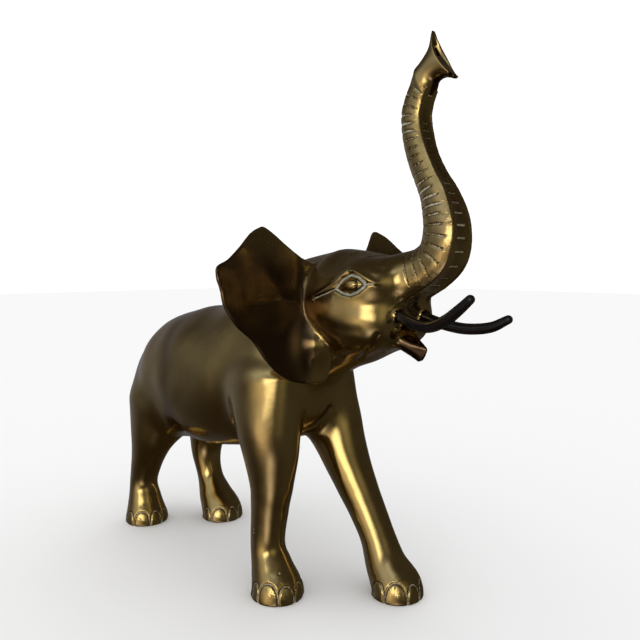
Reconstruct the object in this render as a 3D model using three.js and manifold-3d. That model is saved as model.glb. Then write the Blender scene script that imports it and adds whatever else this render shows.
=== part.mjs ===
// A cast brass elephant with its trunk raised, its two dark tusks set in sockets.
// Millimetres. The figure faces -Y, its left side is +X and +Z is up.
import * as THREE from "three";
import Module from "manifold-3d";

// Driving dimensions
const FRONT_GAUGE = 35.6; // half the distance between the front feet, across
const HIND_GAUGE = 31.8; // half the distance between the hind feet, across
const SOLE_RADIUS = 21.5;
const ANKLE_RADIUS = 14;
const FOOT_HEIGHT = 22; // where the foot narrows into the ankle
const FRONT_FOOT_Y = { right: -80.5, left: -146.4 };
const HIND_FOOT_Y = { right: 136.2, left: 90.7 };
const BARREL_HALF_WIDTH = 60;
const BARREL_HALF_DEPTH = 66;
const HEAD_HALF_WIDTH = 42;
const TRUNK_RADIUS = 9.8; // along the upper stretch
const LIP_LENGTH = 41; // of the opening at the trunk's tip, end to end
const LIP_HALF_WIDTH = 7.2;
const EAR_THICKNESS = 3.6;
const TUSK_RADIUS = 4;
const SOCKET_GAP = 0.3;

// Mesh fineness
const COARSE_STEP = 10.5; // grid step of the carved body
const HEAD_EDGE = 10.5; // longest edge on the head
const TRUNK_EDGE = 8.5;
const SHORTEST_EDGE = 0.8; // anything shorter is drawn together
const SPLINE_STEPS = 8; // points between two stations of a limb
const NET_LOW = [-78, -250, -52]; // the box the body is carved in, down past the soles
const NET_HIGH = [78, 190, 414];
const FLOOR_LOW = [-200, -400, -60]; // what the floor cuts off
const FLOOR_HIGH = [200, 400, 0];
const HEAD_BEGINS = { y: -120, z: 195 };
const TRUNK_BEGINS = { y: -180, z: 268 };
const SETTLE_PASSES = 3;
const PROBE = 0.05; // how far apart the field is read for its slope
const GENTLEST_SLOPE = 0.2; // squared, so that no point is thrown far
const NUDGE = 0.01; // a grid value that changes side
const ON_SOLE = 1e-4;

// The figure's own origin in the part's frame, whose origin is under the middle of its box
const FIGURE_SHIFT = new THREE.Vector3(0, 47.71, 0);

const wasm = await Module();
wasm.setup();

// Blends

function smoothMin(a, b, reach) {
  const h = Math.max(reach - Math.abs(a - b), 0) / reach;
  return Math.min(a, b) - (h * h * h * reach) / 6;
}

function smoothMax(a, b, reach) {
  return -smoothMin(-a, -b, reach);
}

function catmullRom(p0, p1, p2, p3, t) {
  const a = -p0 + p2;
  const b = 2 * p0 - 5 * p1 + 4 * p2 - p3;
  const c = -p0 + 3 * p1 - 3 * p2 + p3;
  return 0.5 * (2 * p1 + a * t + b * t * t + c * t * t * t);
}

// Smooth rows between the stations of an open line
function splineRows(rows, steps = SPLINE_STEPS) {
  const last = rows.length - 1;
  const before = rows[0].map((v, k) => 2 * v - rows[1][k]);
  const after = rows[last].map((v, k) => 2 * v - rows[last - 1][k]);
  const all = [before, ...rows, after];
  const out = [];
  for (let i = 1; i <= last; i++) {
    const [p, q, r, s] = all.slice(i - 1, i + 3);
    for (let j = 0; j < steps; j++) {
      out.push(p.map((_, k) => catmullRom(p[k], q[k], r[k], s[k], j / steps)));
    }
  }
  out.push(rows[last].slice());
  return out;
}

// A limb is an ellipse swept along a line in an upright plane. Each station is
// [x, y, z, half width across X, half depth in the plane].
function limb(stations, startCap, endCap, shape = null) {
  const rows = splineRows(stations);
  const n = rows.length;
  const tangents = rows.map((_, i) => {
    const a = rows[Math.max(i - 1, 0)];
    const b = rows[Math.min(i + 1, n - 1)];
    const length = Math.hypot(b[1] - a[1], b[2] - a[2]);
    return [(b[1] - a[1]) / length, (b[2] - a[2]) / length];
  });
  return (x, y, z) => {
    let best = Infinity;
    let at = 0;
    let part = 0;
    for (let i = 0; i < n - 1; i++) {
      const dy = rows[i + 1][1] - rows[i][1];
      const dz = rows[i + 1][2] - rows[i][2];
      const qy = y - rows[i][1];
      const qz = z - rows[i][2];
      const t = Math.min(Math.max((qy * dy + qz * dz) / (dy * dy + dz * dz), 0), 1);
      const far = (qy - t * dy) ** 2 + (qz - t * dz) ** 2;
      if (far < best) {
        best = far;
        at = i;
        part = t;
      }
    }
    const [cx, cy, cz, wide, deep] = rows[at].map((v, k) => v * (1 - part) + rows[at + 1][k] * part);
    let ty = tangents[at][0] * (1 - part) + tangents[at + 1][0] * part;
    let tz = tangents[at][1] * (1 - part) + tangents[at + 1][1] * part;
    const length = Math.hypot(ty, tz);
    ty /= length;
    tz /= length;
    const ry = y - cy;
    const rz = z - cz;
    const first = at === 0 && part <= 0;
    const final = at === n - 2 && part >= 1;
    let along = ry * ty + rz * tz;
    let across = -ry * tz + rz * ty;
    if (!first && !final) {
      across = (across < 0 ? -1 : 1) * Math.hypot(across, along);
      along = 0;
    }
    const cap = first ? startCap : endCap;
    const side = x - cx;
    const k0 = Math.hypot(side / wide, across / deep, along / cap);
    const k1 = Math.hypot(side / wide ** 2, across / deep ** 2, along / cap ** 2) + 1e-9;
    const d = (k0 * (k0 - 1)) / k1;
    return shape ? shape(d, across, deep) : d;
  };
}

// An egg is an ellipsoid tipped about X by a number of degrees.
function egg([cx, cy, cz], [rx, ry, rz], tilt) {
  const c = Math.cos(THREE.MathUtils.degToRad(tilt));
  const s = Math.sin(THREE.MathUtils.degToRad(tilt));
  return (x, y, z) => {
    const px = x - cx;
    const py = (y - cy) * c + (z - cz) * s;
    const pz = -(y - cy) * s + (z - cz) * c;
    const k0 = Math.hypot(px / rx, py / ry, pz / rz);
    const k1 = Math.hypot(px / rx ** 2, py / ry ** 2, pz / rz ** 2) + 1e-9;
    return (k0 * (k0 - 1)) / k1;
  };
}

function bothSides(form, reach) {
  return (x, y, z) => smoothMin(form(x, y, z), form(-x, y, z), reach);
}

// Torso, neck and head

const torso = limb([
  [0, -60, 172, 0.7 * BARREL_HALF_WIDTH, 0.76 * BARREL_HALF_DEPTH],
  [0, -10, 166, 0.92 * BARREL_HALF_WIDTH, 0.92 * BARREL_HALF_DEPTH],
  [0, 45, 161, BARREL_HALF_WIDTH, BARREL_HALF_DEPTH],
  [0, 90, 157, 0.88 * BARREL_HALF_WIDTH, 0.91 * BARREL_HALF_DEPTH],
  [0, 114, 150, 0.68 * BARREL_HALF_WIDTH, 0.76 * BARREL_HALF_DEPTH],
], 34, 31);
const neck = limb([
  [0, 30, 172, 36, 38],
  [0, -20, 190, 41, 45],
  [0, -60, 208, 40, 46],
  [0, -100, 226, 39, 46],
  [0, -132, 236, 38, 40],
], 30, 26);
const skull = egg([0, -141, 237], [HEAD_HALF_WIDTH, 46, 36.5], -8);
const cheek = egg([-21, -156, 226], [19, 30, 23], -8);
const brow = egg([-20, -160, 252], [21, 26, 19], -6);
const eyeball = egg([-38.4, -164.2, 252.4], [4.4, 7.4, 5.2], -10);
const chin = limb([
  [0, -120, 212, 26, 24],
  [0, -145, 212, 23, 17],
  [0, -166, 216, 18, 12],
  [0, -180, 216, 14, 8],
], 20, 4);
const hip = egg([-24, 108, 136], [26, 36, 50], 8);

// The trunk is round behind and flat in front, with an edge down each side of the flat.
const FLAT_SHARE = 0.84;
const FLAT_EDGE = 1.6;

function flatInFront(d, across, deep) {
  return smoothMax(d, across - FLAT_SHARE * deep, FLAT_EDGE);
}

const trunk = limb([
  [0, -150, 246, 34, 28],
  [0, -170, 250, 26, 22],
  [0, -184, 257, 21, 18.5],
  [0, -201, 264, 17.5, 16.5],
  [0, -212, 274, 16, 16],
  [0, -215, 291, 14.5, 15],
  [0, -210, 310, 12.5, 12.8],
  [0, -202, 325, 10.8, 11],
  [0, -193, 344, 10, 10.3],
  [0, -188.5, 366, TRUNK_RADIUS, TRUNK_RADIUS],
  [0, -191, 377, 0.9 * TRUNK_RADIUS, 0.93 * TRUNK_RADIUS],
  [0, -196, 387, 0.82 * TRUNK_RADIUS, 0.84 * TRUNK_RADIUS],
], 20, 7, flatInFront);

// Legs, each from the sole up to where it joins the barrel. A leg runs on below the floor, which
// cuts it off flat.
const SOLE_RUN = 6;
const SOLE_DRAFT = 0.5;
const FOOT_TOP_RADIUS = 17;
const FOOT_LEAN = 0.55; // share of the way from the sole's middle to the ankle's, at the foot's top
const LEG_CAP = 20;

function leg(x, footY, upper) {
  const side = Math.sign(x);
  const ankle = upper[0];
  const top = SOLE_RADIUS - SOLE_DRAFT;
  const lean = (1 - FOOT_LEAN) * footY + FOOT_LEAN * ankle[0];
  return limb([
    [x, footY, -SOLE_RUN, SOLE_RADIUS, SOLE_RADIUS],
    [x, footY, SOLE_RUN, top, top],
    [x, lean, FOOT_HEIGHT, FOOT_TOP_RADIUS, FOOT_TOP_RADIUS],
    ...upper.map(([y, z, wide, deep, outward = 0]) => [x + side * outward, y, z, wide, deep]),
  ], LEG_CAP, LEG_CAP);
}

const legs = [
  leg(-FRONT_GAUGE, FRONT_FOOT_Y.right, [
    [-69.5, 40, ANKLE_RADIUS, 14.4],
    [-72.4, 72, 15.5, 16],
    [-75, 91, 17.5, 18.5],
    [-74, 118, 22, 25, 0.4],
    [-70, 142, 24, 30, 0.4],
    [-64, 172, 24, 34, -1.6],
  ]),
  leg(FRONT_GAUGE, FRONT_FOOT_Y.left, [
    [-126.6, 41, 14.6, 14.7],
    [-115, 60, 15.2, 15.3],
    [-104, 77, 16.8, 17],
    [-85, 108, 21, 21.5, 0.4],
    [-70, 136, 24, 28, 0.4],
    [-60, 165, 24, 34, -1.6],
  ]),
  leg(-HIND_GAUGE, HIND_FOOT_Y.right, [
    [140.5, 41, ANKLE_RADIUS, ANKLE_RADIUS],
    [132, 66, 16, 17],
    [119, 96, 20, 25, 1],
    [111, 128, 22, 31, 1],
  ]),
  leg(HIND_GAUGE, HIND_FOOT_Y.left, [
    [112, 41, 13.2, 13.2],
    [118, 66, 16, 16],
    [114, 96, 20, 25, 1],
    [109, 128, 22, 31, 1],
  ]),
];

// Tusks: [x, y, z, radius]. The right one turns up more than the left one.
const TUSKS = {
  tusk_right: [
    [-14.4, -180, 233.5, TUSK_RADIUS],
    [-15, -189, 231, TUSK_RADIUS],
    [-17, -203.6, 226.6, TUSK_RADIUS],
    [-19, -217.5, 226.3, 0.98 * TUSK_RADIUS],
    [-21, -230.6, 231.1, 0.95 * TUSK_RADIUS],
    [-22, -241, 238.1, 0.88 * TUSK_RADIUS],
    [-22.5, -250, 245.5, 0.75 * TUSK_RADIUS],
  ],
  tusk_left: [
    [14.4, -180, 231.5, TUSK_RADIUS],
    [15, -189, 228.5, TUSK_RADIUS],
    [17, -203.6, 224.6, TUSK_RADIUS],
    [19, -220, 222.6, 0.98 * TUSK_RADIUS],
    [21, -237.4, 224.6, 0.92 * TUSK_RADIUS],
    [22.5, -250, 230.6, 0.75 * TUSK_RADIUS],
  ],
};
const TUSK_SIDES = 12;
const TUSK_ROOT_CAP = 1;
const TUSK_TIP_CAP = 2.6;
const SOCKET_STATIONS = 3;
const BOSS_RADIUS = 5.6; // of the rim around each tusk's root
const BOSS_SHARE = 0.75; // of the tusk's first stretch that the rim follows

function boss([inner, outer]) {
  const from = new THREE.Vector3(...inner);
  const span = new THREE.Vector3(...outer).sub(from);
  const point = new THREE.Vector3();
  return (x, y, z) => {
    point.set(x, y, z).sub(from);
    const t = Math.min(Math.max(point.dot(span) / span.lengthSq(), 0), BOSS_SHARE);
    return point.addScaledVector(span, -t).length() - BOSS_RADIUS;
  };
}

// How far each part melts into what it joins
const MELT = {
  neck: 34,
  hips: 30,
  hipToHip: 20,
  hindLegs: 18,
  frontLegs: 22,
  head: 16,
  skull: 20,
  cheeks: 14,
  cheekToCheek: 6,
  brows: 10,
  chin: 12,
  trunk: 16,
  bosses: 4,
  eyeballs: 1.2,
};

const bosses = Object.values(TUSKS).map(boss);
const hips = bothSides(hip, MELT.hipToHip);
const cheeks = bothSides(cheek, MELT.cheekToCheek);
const brows = bothSides(brow, MELT.brows);
const eyeballs = bothSides(eyeball, MELT.eyeballs);

function headField(x, y, z) {
  let d = smoothMin(skull(x, y, z), neck(x, y, z), MELT.skull);
  d = smoothMin(d, cheeks(x, y, z), MELT.cheeks);
  d = smoothMin(d, brows(x, y, z), MELT.brows);
  d = smoothMin(d, chin(x, y, z), MELT.chin);
  d = smoothMin(d, trunk(x, y, z), MELT.trunk);
  d = bosses.reduce((sum, form) => smoothMin(sum, form(x, y, z), MELT.bosses), d);
  return smoothMin(d, eyeballs(x, y, z), MELT.eyeballs);
}

// Negative inside the metal: everything but the ears, the trunk's lips and the lower lip
function bodyField(x, y, z) {
  const [frontRight, frontLeft, hindRight, hindLeft] = legs;
  let d = smoothMin(torso(x, y, z), neck(x, y, z), MELT.neck);
  d = smoothMin(d, hips(x, y, z), MELT.hips);
  for (const form of [hindRight, hindLeft]) d = smoothMin(d, form(x, y, z), MELT.hindLegs);
  for (const form of [frontRight, frontLeft]) d = smoothMin(d, form(x, y, z), MELT.frontLegs);
  return smoothMin(d, headField(x, y, z), MELT.head);
}

// Meshing a field

const CORNERS = [0, 1, 2, 3, 4, 5, 6, 7].map((i) => [i & 1, (i >> 1) & 1, (i >> 2) & 1]);
const CELL_EDGES = [];
for (let a = 0; a < 8; a++) {
  for (const bit of [1, 2, 4]) {
    if (!(a & bit)) CELL_EDGES.push([a, a | bit]);
  }
}

// Where the four corners of a grid face are in and out by turns, the surface would touch itself,
// so the corner nearest the surface changes side.
function untangle(values, size, index) {
  const faces = [[[1, 0, 0], [0, 1, 0]], [[0, 1, 0], [0, 0, 1]], [[0, 0, 1], [1, 0, 0]]];
  for (let changed = 1; changed > 0;) {
    changed = 0;
    for (let k = 0; k < size[2] - 1; k++) {
      for (let j = 0; j < size[1] - 1; j++) {
        for (let i = 0; i < size[0] - 1; i++) {
          for (const [u, v] of faces) {
            const four = [[0, 0], [1, 0], [1, 1], [0, 1]].map(([a, b]) => (
              index(i + a * u[0] + b * v[0], j + a * u[1] + b * v[1], k + a * u[2] + b * v[2])));
            const [p, q, r, t] = four.map((at) => values[at] < 0);
            if (p !== r || q !== t || p === q) continue;
            const nearest = four.reduce((a, b) => (Math.abs(values[b]) < Math.abs(values[a]) ? b : a));
            values[nearest] = values[nearest] < 0 ? NUDGE : -NUDGE;
            changed += 1;
          }
        }
      }
    }
  }
}

// One vertex in each grid cell that the surface crosses, one quad across each crossed grid edge
function surfaceNet(field, low, high, step) {
  const size = [0, 1, 2].map((k) => Math.ceil((high[k] - low[k]) / step) + 1);
  const index = (i, j, k) => (k * size[1] + j) * size[0] + i;
  const values = new Float64Array(size[0] * size[1] * size[2]);
  for (let k = 0; k < size[2]; k++) {
    for (let j = 0; j < size[1]; j++) {
      for (let i = 0; i < size[0]; i++) {
        values[index(i, j, k)] = field(low[0] + i * step, low[1] + j * step, low[2] + k * step);
      }
    }
  }
  untangle(values, size, index);
  const points = [];
  const cells = new Map();
  for (let k = 0; k < size[2] - 1; k++) {
    for (let j = 0; j < size[1] - 1; j++) {
      for (let i = 0; i < size[0] - 1; i++) {
        const sum = new THREE.Vector3();
        let crossings = 0;
        for (const [a, b] of CELL_EDGES) {
          const va = values[index(i + CORNERS[a][0], j + CORNERS[a][1], k + CORNERS[a][2])];
          const vb = values[index(i + CORNERS[b][0], j + CORNERS[b][1], k + CORNERS[b][2])];
          if (va < 0 === vb < 0) continue;
          const from = new THREE.Vector3(...CORNERS[a]);
          sum.add(from.lerp(new THREE.Vector3(...CORNERS[b]), va / (va - vb)));
          crossings += 1;
        }
        if (!crossings) continue;
        sum.divideScalar(crossings);
        cells.set(index(i, j, k), points.length);
        points.push(new THREE.Vector3(i, j, k).add(sum).multiplyScalar(step).add(new THREE.Vector3(...low)));
      }
    }
  }
  const triangles = [];
  const unit = [[1, 0, 0], [0, 1, 0], [0, 0, 1]];
  for (let axis = 0; axis < 3; axis++) {
    const u = unit[(axis + 1) % 3];
    const v = unit[(axis + 2) % 3];
    const w = unit[axis];
    for (let k = 1; k < size[2] - 1; k++) {
      for (let j = 1; j < size[1] - 1; j++) {
        for (let i = 1; i < size[0] - 1; i++) {
          const here = values[index(i, j, k)] < 0;
          if (here === values[index(i + w[0], j + w[1], k + w[2])] < 0) continue;
          const cell = (a, b) => cells.get(index(
            i - a * u[0] - b * v[0], j - a * u[1] - b * v[1], k - a * u[2] - b * v[2]));
          const quad = [cell(1, 1), cell(0, 1), cell(0, 0), cell(1, 0)];
          if (!here) quad.reverse();
          const [p, q, r, s] = quad;
          const short = points[p].distanceTo(points[r]) <= points[q].distanceTo(points[s]);
          triangles.push(...(short ? [[p, q, r], [p, r, s]] : [[p, q, s], [q, r, s]]));
        }
      }
    }
  }
  return { points, triangles };
}

// Moves each point along the field's slope until it lies on the surface
function settle(field, points) {
  const e = PROBE;
  for (const p of points) {
    for (let pass = 0; pass < SETTLE_PASSES; pass++) {
      const gx = (field(p.x + e, p.y, p.z) - field(p.x - e, p.y, p.z)) / (2 * e);
      const gy = (field(p.x, p.y + e, p.z) - field(p.x, p.y - e, p.z)) / (2 * e);
      const gz = (field(p.x, p.y, p.z + e) - field(p.x, p.y, p.z - e)) / (2 * e);
      const slope = Math.max(gx * gx + gy * gy + gz * gz, GENTLEST_SLOPE);
      const step = -field(p.x, p.y, p.z) / slope;
      p.add(new THREE.Vector3(gx, gy, gz).multiplyScalar(step));
    }
  }
}

// Splits the longest edges until none is longer than the length wanted at its middle
function refine({ points, triangles }, wantedLength) {
  const fresh = [];
  for (;;) {
    const score = (a, b) => {
      const middle = points[a].clone().lerp(points[b], 0.5);
      return points[a].distanceTo(points[b]) / wantedLength(middle);
    };
    const key = (a, b) => (a < b ? `${a},${b}` : `${b},${a}`);
    const worst = triangles.map(([a, b, c]) => {
      const edges = [[a, b], [b, c], [c, a]].map(([p, q]) => [score(p, q), key(p, q), p, q]);
      const longer = (one, two) => two[0] > one[0] || (two[0] === one[0] && two[1] > one[1]);
      return edges.reduce((one, two) => (longer(one, two) ? two : one));
    });
    const votes = new Map();
    for (const [value, name] of worst) {
      if (value > 1) votes.set(name, (votes.get(name) ?? 0) + 1);
    }
    const middles = new Map();
    const next = [];
    triangles.forEach((triangle, i) => {
      const [value, name, p, q] = worst[i];
      if (!(value > 1) || votes.get(name) !== 2) {
        next.push(triangle);
        return;
      }
      if (!middles.has(name)) {
        middles.set(name, points.length);
        points.push(points[p].clone().lerp(points[q], 0.5));
        fresh.push(points[points.length - 1]);
      }
      const middle = middles.get(name);
      const third = triangle.find((corner) => corner !== p && corner !== q);
      next.push([p, middle, third], [middle, q, third]);
    });
    triangles = next;
    if (!middles.size) break;
  }
  return { points, triangles, fresh };
}

// Draws the two ends of each short edge together, where the surface stays closed by it. A point
// on the sole stays on it.
function closeShortEdges({ points, triangles }, shortest) {
  const onSole = (p) => Math.abs(p.z) < ON_SOLE;
  for (;;) {
    const around = points.map(() => new Set());
    for (const [a, b, c] of triangles) {
      around[a].add(b).add(c);
      around[b].add(c).add(a);
      around[c].add(a).add(b);
    }
    const joined = new Map();
    const busy = new Set();
    for (const triangle of triangles) {
      for (let i = 0; i < 3; i++) {
        const a = triangle[i];
        const b = triangle[(i + 1) % 3];
        if (a > b || busy.has(a) || busy.has(b)) continue;
        if (points[a].distanceTo(points[b]) >= shortest) continue;
        const shared = [...around[a]].filter((other) => around[b].has(other));
        if (shared.length !== 2) continue;
        if (onSole(points[b])) points[a].copy(points[b]);
        else if (!onSole(points[a])) points[a].lerp(points[b], 0.5);
        joined.set(b, a);
        for (const other of [...around[a], ...around[b]]) busy.add(other);
      }
    }
    if (!joined.size) return { points, triangles };
    triangles = triangles
      .map((triangle) => triangle.map((corner) => joined.get(corner) ?? corner))
      .filter(([a, b, c]) => a !== b && b !== c && c !== a);
  }
}

// Solids

function solidFrom({ points, triangles }) {
  const vertProperties = new Float32Array(points.flatMap((p) => [p.x, p.y, p.z]));
  const triVerts = new Uint32Array(triangles.flat());
  return new wasm.Manifold(new wasm.Mesh({ numProp: 3, vertProperties, triVerts }));
}

function boxSolid(low, high) {
  const size = new THREE.Vector3(...high).sub(new THREE.Vector3(...low));
  const corners = CORNERS.map((c) => new THREE.Vector3(...c).multiply(size).add(new THREE.Vector3(...low)));
  const quads = [[0, 2, 3, 1], [4, 5, 7, 6], [0, 1, 5, 4], [2, 6, 7, 3], [0, 4, 6, 2], [1, 3, 7, 5]];
  return solidFrom({ points: corners, triangles: quads.flatMap(([a, b, c, d]) => [[a, b, c], [a, c, d]]) });
}

// Rings of points around a line of rows [x, y, z, half width, half depth], closed by round caps
function sweptSolid(rows, sides, startCap, endCap) {
  const centres = rows.map((row) => new THREE.Vector3(row[0], row[1], row[2]));
  const rings = [];
  const frameAt = (i) => {
    const last = rows.length - 1;
    const along = centres[Math.min(i + 1, last)].clone().sub(centres[Math.max(i - 1, 0)]).normalize();
    const across = new THREE.Vector3(1, 0, 0).addScaledVector(along, -along.x).normalize();
    return { along, across, up: new THREE.Vector3().crossVectors(along, across) };
  };
  const addRing = (i, scale, shift) => {
    const { along, across, up } = frameAt(i);
    const ring = [];
    for (let s = 0; s < sides; s++) {
      const angle = (2 * Math.PI * s) / sides;
      ring.push(centres[i].clone()
        .addScaledVector(along, shift)
        .addScaledVector(across, rows[i][3] * scale * Math.cos(angle))
        .addScaledVector(up, rows[i][4] * scale * Math.sin(angle)));
    }
    rings.push(ring);
  };
  const capTurns = [60, 30].map(THREE.MathUtils.degToRad);
  for (const turn of capTurns) addRing(0, Math.cos(turn), -startCap * Math.sin(turn));
  rows.forEach((_, i) => addRing(i, 1, 0));
  for (const turn of [...capTurns].reverse()) addRing(rows.length - 1, Math.cos(turn), endCap * Math.sin(turn));
  const points = rings.flat();
  const start = points.length;
  points.push(centres[0].clone().addScaledVector(frameAt(0).along, -startCap));
  points.push(centres[rows.length - 1].clone().addScaledVector(frameAt(rows.length - 1).along, endCap));
  const triangles = [];
  for (let s = 0; s < sides; s++) {
    const next = (s + 1) % sides;
    triangles.push([start, next, s]);
    for (let r = 0; r < rings.length - 1; r++) {
      const a = r * sides;
      const b = a + sides;
      triangles.push([a + s, a + next, b + next], [a + s, b + next, b + s]);
    }
    const top = (rings.length - 1) * sides;
    triangles.push([start + 1, top + s, top + next]);
  }
  return solidFrom({ points, triangles });
}

// The lips at the trunk's tip: a bell that opens forwards and a little upwards, long and narrow
const LIP_CENTRE = { y: -212.4, z: 403.8 };
const LIP_DIRECTION = { y: -0.861, z: 0.508 };
const LIP_WALL = 1.9;

function lipStation(back, wide, deep) {
  return [0, LIP_CENTRE.y - back * LIP_DIRECTION.y, LIP_CENTRE.z - back * LIP_DIRECTION.z, wide, deep];
}

function lips() {
  const half = LIP_LENGTH / 2;
  const outside = [
    lipStation(20, 8, 8),
    lipStation(13, 7.9, 9.5),
    lipStation(6, 7.6, 0.63 * half),
    lipStation(0, LIP_HALF_WIDTH, half),
  ];
  const inside = [
    lipStation(15, 4.4, 4.2),
    lipStation(9, 5.2, 7.4),
    lipStation(4, LIP_HALF_WIDTH - LIP_WALL, 0.6 * half),
    lipStation(0, LIP_HALF_WIDTH - LIP_WALL, half - LIP_WALL - 0.4),
    lipStation(-3, LIP_HALF_WIDTH - LIP_WALL, half + 3),
  ];
  return {
    outer: sweptSolid(splineRows(outside, 2), 16, 6, 0.4),
    inner: sweptSolid(splineRows(inside, 2), 12, 3, 1),
  };
}

// The lower lip is a short pointed spout, and the mouth is the hollow between it and the trunk.
function lowerLip() {
  const outside = [
    [0, -160, 218, 16, 9],
    [0, -178, 215, 12.5, 7.5],
    [0, -190, 209, 7, 6.2],
    [0, -197.5, 204, 1.8, 5.4],
  ];
  const inside = [
    [0, -172, 224, 12, 8],
    [0, -182, 219, 9, 7],
    [0, -191, 213.5, 4.6, 5.4],
    [0, -195.5, 211.5, 1.4, 3.6],
  ];
  const mouth = [
    [0, -172, 222, 6, 5],
    [0, -186, 222, 10, 7],
    [0, -205, 218, 10, 9],
    [0, -220, 214, 10, 10],
  ];
  return {
    outer: sweptSolid(splineRows(outside, 3), 14, 6, 1.5),
    inner: sweptSolid(splineRows(inside, 2), 12, 5, 1),
    mouth: sweptSolid(splineRows(mouth, 2), 12, 4, 4),
  };
}

// Ears. The outline is in the ear's own plane: u outwards from its root, v upwards.
const EAR_ROOT = new THREE.Vector3(36, -119.5, 233);
const EAR_OUT = new THREE.Vector3(0.987, 0.143, 0.071);
const EAR_UP = new THREE.Vector3(-0.089, 0.122, 0.989);
const EAR_FRONT = new THREE.Vector3().crossVectors(EAR_UP, EAR_OUT).negate();
const EAR_CENTRE = [15, 0];
const EAR_OUTLINE = [
  [0, 37.5], [14.7, 48], [32, 61.3], [45.2, 54.7], [56.1, 42.9], [78, 27], [76.2, 11], [62.8, -13.5],
  [48.7, -25], [26.6, -47.6], [13.5, -53], [-2.5, -55], [-12, -51], [-14, -30], [-21, 0], [-14, 30],
];
const EAR_RINGS = [0.45, 0.82];
const EAR_EDGE_SHARE = 0.6; // of the thickness left square at the rim
const EAR_PER_SPAN = 2;
const LEFT_LOBE_SHARE = 0.8; // the left ear's lower lobe is shorter and swept back
// How far forwards each part of an ear bends, and how far out or up that is reached
const TIP_BOW = { rise: 6.7, at: 75 };
const TOP_BOW = { rise: -11, at: 60 };
const LEFT_LOBE_BOW = { rise: -14, at: 45 };
const LOBE_BULGE = { rise: 12, u: -5, v: -25, wide: 14, tall: 16 }; // beside the jaw

function earBow(u, v, left) {
  const tip = TIP_BOW.rise * (u / TIP_BOW.at) ** 2 + TOP_BOW.rise * (Math.max(v, 0) / TOP_BOW.at) ** 2;
  if (left) return tip + LEFT_LOBE_BOW.rise * (Math.min(v, 0) / LEFT_LOBE_BOW.at) ** 2;
  const away = ((u - LOBE_BULGE.u) / LOBE_BULGE.wide) ** 2 + ((v - LOBE_BULGE.v) / LOBE_BULGE.tall) ** 2;
  return tip + LOBE_BULGE.rise * Math.exp(-away);
}

function ear(left) {
  const side = new THREE.Vector3(left ? 1 : -1, 1, 1);
  const count = EAR_OUTLINE.length;
  const rim = [];
  for (let i = 0; i < count; i++) {
    const four = [-1, 0, 1, 2].map((k) => EAR_OUTLINE[(i + k + count) % count]);
    for (let j = 0; j < EAR_PER_SPAN; j++) {
      rim.push([0, 1].map((k) => catmullRom(four[0][k], four[1][k], four[2][k], four[3][k], j / EAR_PER_SPAN)));
    }
  }
  const place = (u, v, offset) => {
    const drop = left && v < 0 ? v * LEFT_LOBE_SHARE : v;
    return EAR_ROOT.clone()
      .addScaledVector(EAR_OUT, u)
      .addScaledVector(EAR_UP, drop)
      .addScaledVector(EAR_FRONT, earBow(u, drop, left) + offset)
      .multiply(side);
  };
  const points = [];
  const layers = [];
  const half = EAR_THICKNESS / 2;
  for (const offset of [half, -half]) {
    const shares = offset > 0 ? EAR_RINGS : [...EAR_RINGS].reverse();
    for (const share of shares) {
      const first = points.length;
      for (const [u, v] of rim) {
        const at = [0, 1].map((k) => EAR_CENTRE[k] + ([u, v][k] - EAR_CENTRE[k]) * share);
        points.push(place(at[0], at[1], offset));
      }
      layers.push(first);
    }
    if (offset < 0) continue;
    layers.push(points.length);
    for (const [u, v] of rim) points.push(place(u, v, EAR_EDGE_SHARE * half));
    layers.push(points.length);
    for (const [u, v] of rim) points.push(place(u, v, -EAR_EDGE_SHARE * half));
  }
  const front = points.push(place(EAR_CENTRE[0], EAR_CENTRE[1], half)) - 1;
  const back = points.push(place(EAR_CENTRE[0], EAR_CENTRE[1], -half)) - 1;
  const triangles = [];
  for (let s = 0; s < rim.length; s++) {
    const next = (s + 1) % rim.length;
    triangles.push([front, layers[0] + s, layers[0] + next]);
    for (let r = 0; r < layers.length - 1; r++) {
      const a = layers[r];
      const b = layers[r + 1];
      triangles.push([a + s, b + s, b + next], [a + s, b + next, a + next]);
    }
    const final = layers[layers.length - 1];
    triangles.push([final + s, back, final + next]);
  }
  if (left) return solidFrom({ points, triangles: triangles.map(([a, b, c]) => [a, c, b]) });
  return solidFrom({ points, triangles });
}

function tuskRows(stations, spare) {
  return splineRows(stations, 2).map(([x, y, z, r]) => [x, y, z, r + spare, r + spare]);
}

function tuskSolid(stations) {
  return sweptSolid(tuskRows(stations, 0), TUSK_SIDES, TUSK_ROOT_CAP, TUSK_TIP_CAP);
}

function socketSolid(stations) {
  const short = stations.slice(0, SOCKET_STATIONS);
  const floorCap = TUSK_ROOT_CAP + SOCKET_GAP;
  return sweptSolid(tuskRows(short, SOCKET_GAP), TUSK_SIDES, floorCap, TUSK_ROOT_CAP);
}

function wantedEdge(p) {
  if (p.y < TRUNK_BEGINS.y && p.z > TRUNK_BEGINS.z) return TRUNK_EDGE;
  if (p.y < HEAD_BEGINS.y && p.z > HEAD_BEGINS.z) return HEAD_EDGE;
  return 2 * COARSE_STEP;
}

function bodySolid() {
  const net = surfaceNet(bodyField, NET_LOW, NET_HIGH, COARSE_STEP);
  settle(bodyField, net.points);
  const fine = refine(net, wantedEdge);
  settle(bodyField, fine.fresh);
  const tip = lips();
  const lip = lowerLip();
  const floor = boxSolid(FLOOR_LOW, FLOOR_HIGH);
  let solid = solidFrom(fine);
  for (const form of [tip.outer, lip.outer, ear(false), ear(true)]) solid = solid.add(form);
  const cuts = [tip.inner, lip.inner, lip.mouth, floor, ...Object.values(TUSKS).map(socketSolid)];
  for (const form of cuts) solid = solid.subtract(form);
  return solid;
}

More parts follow.
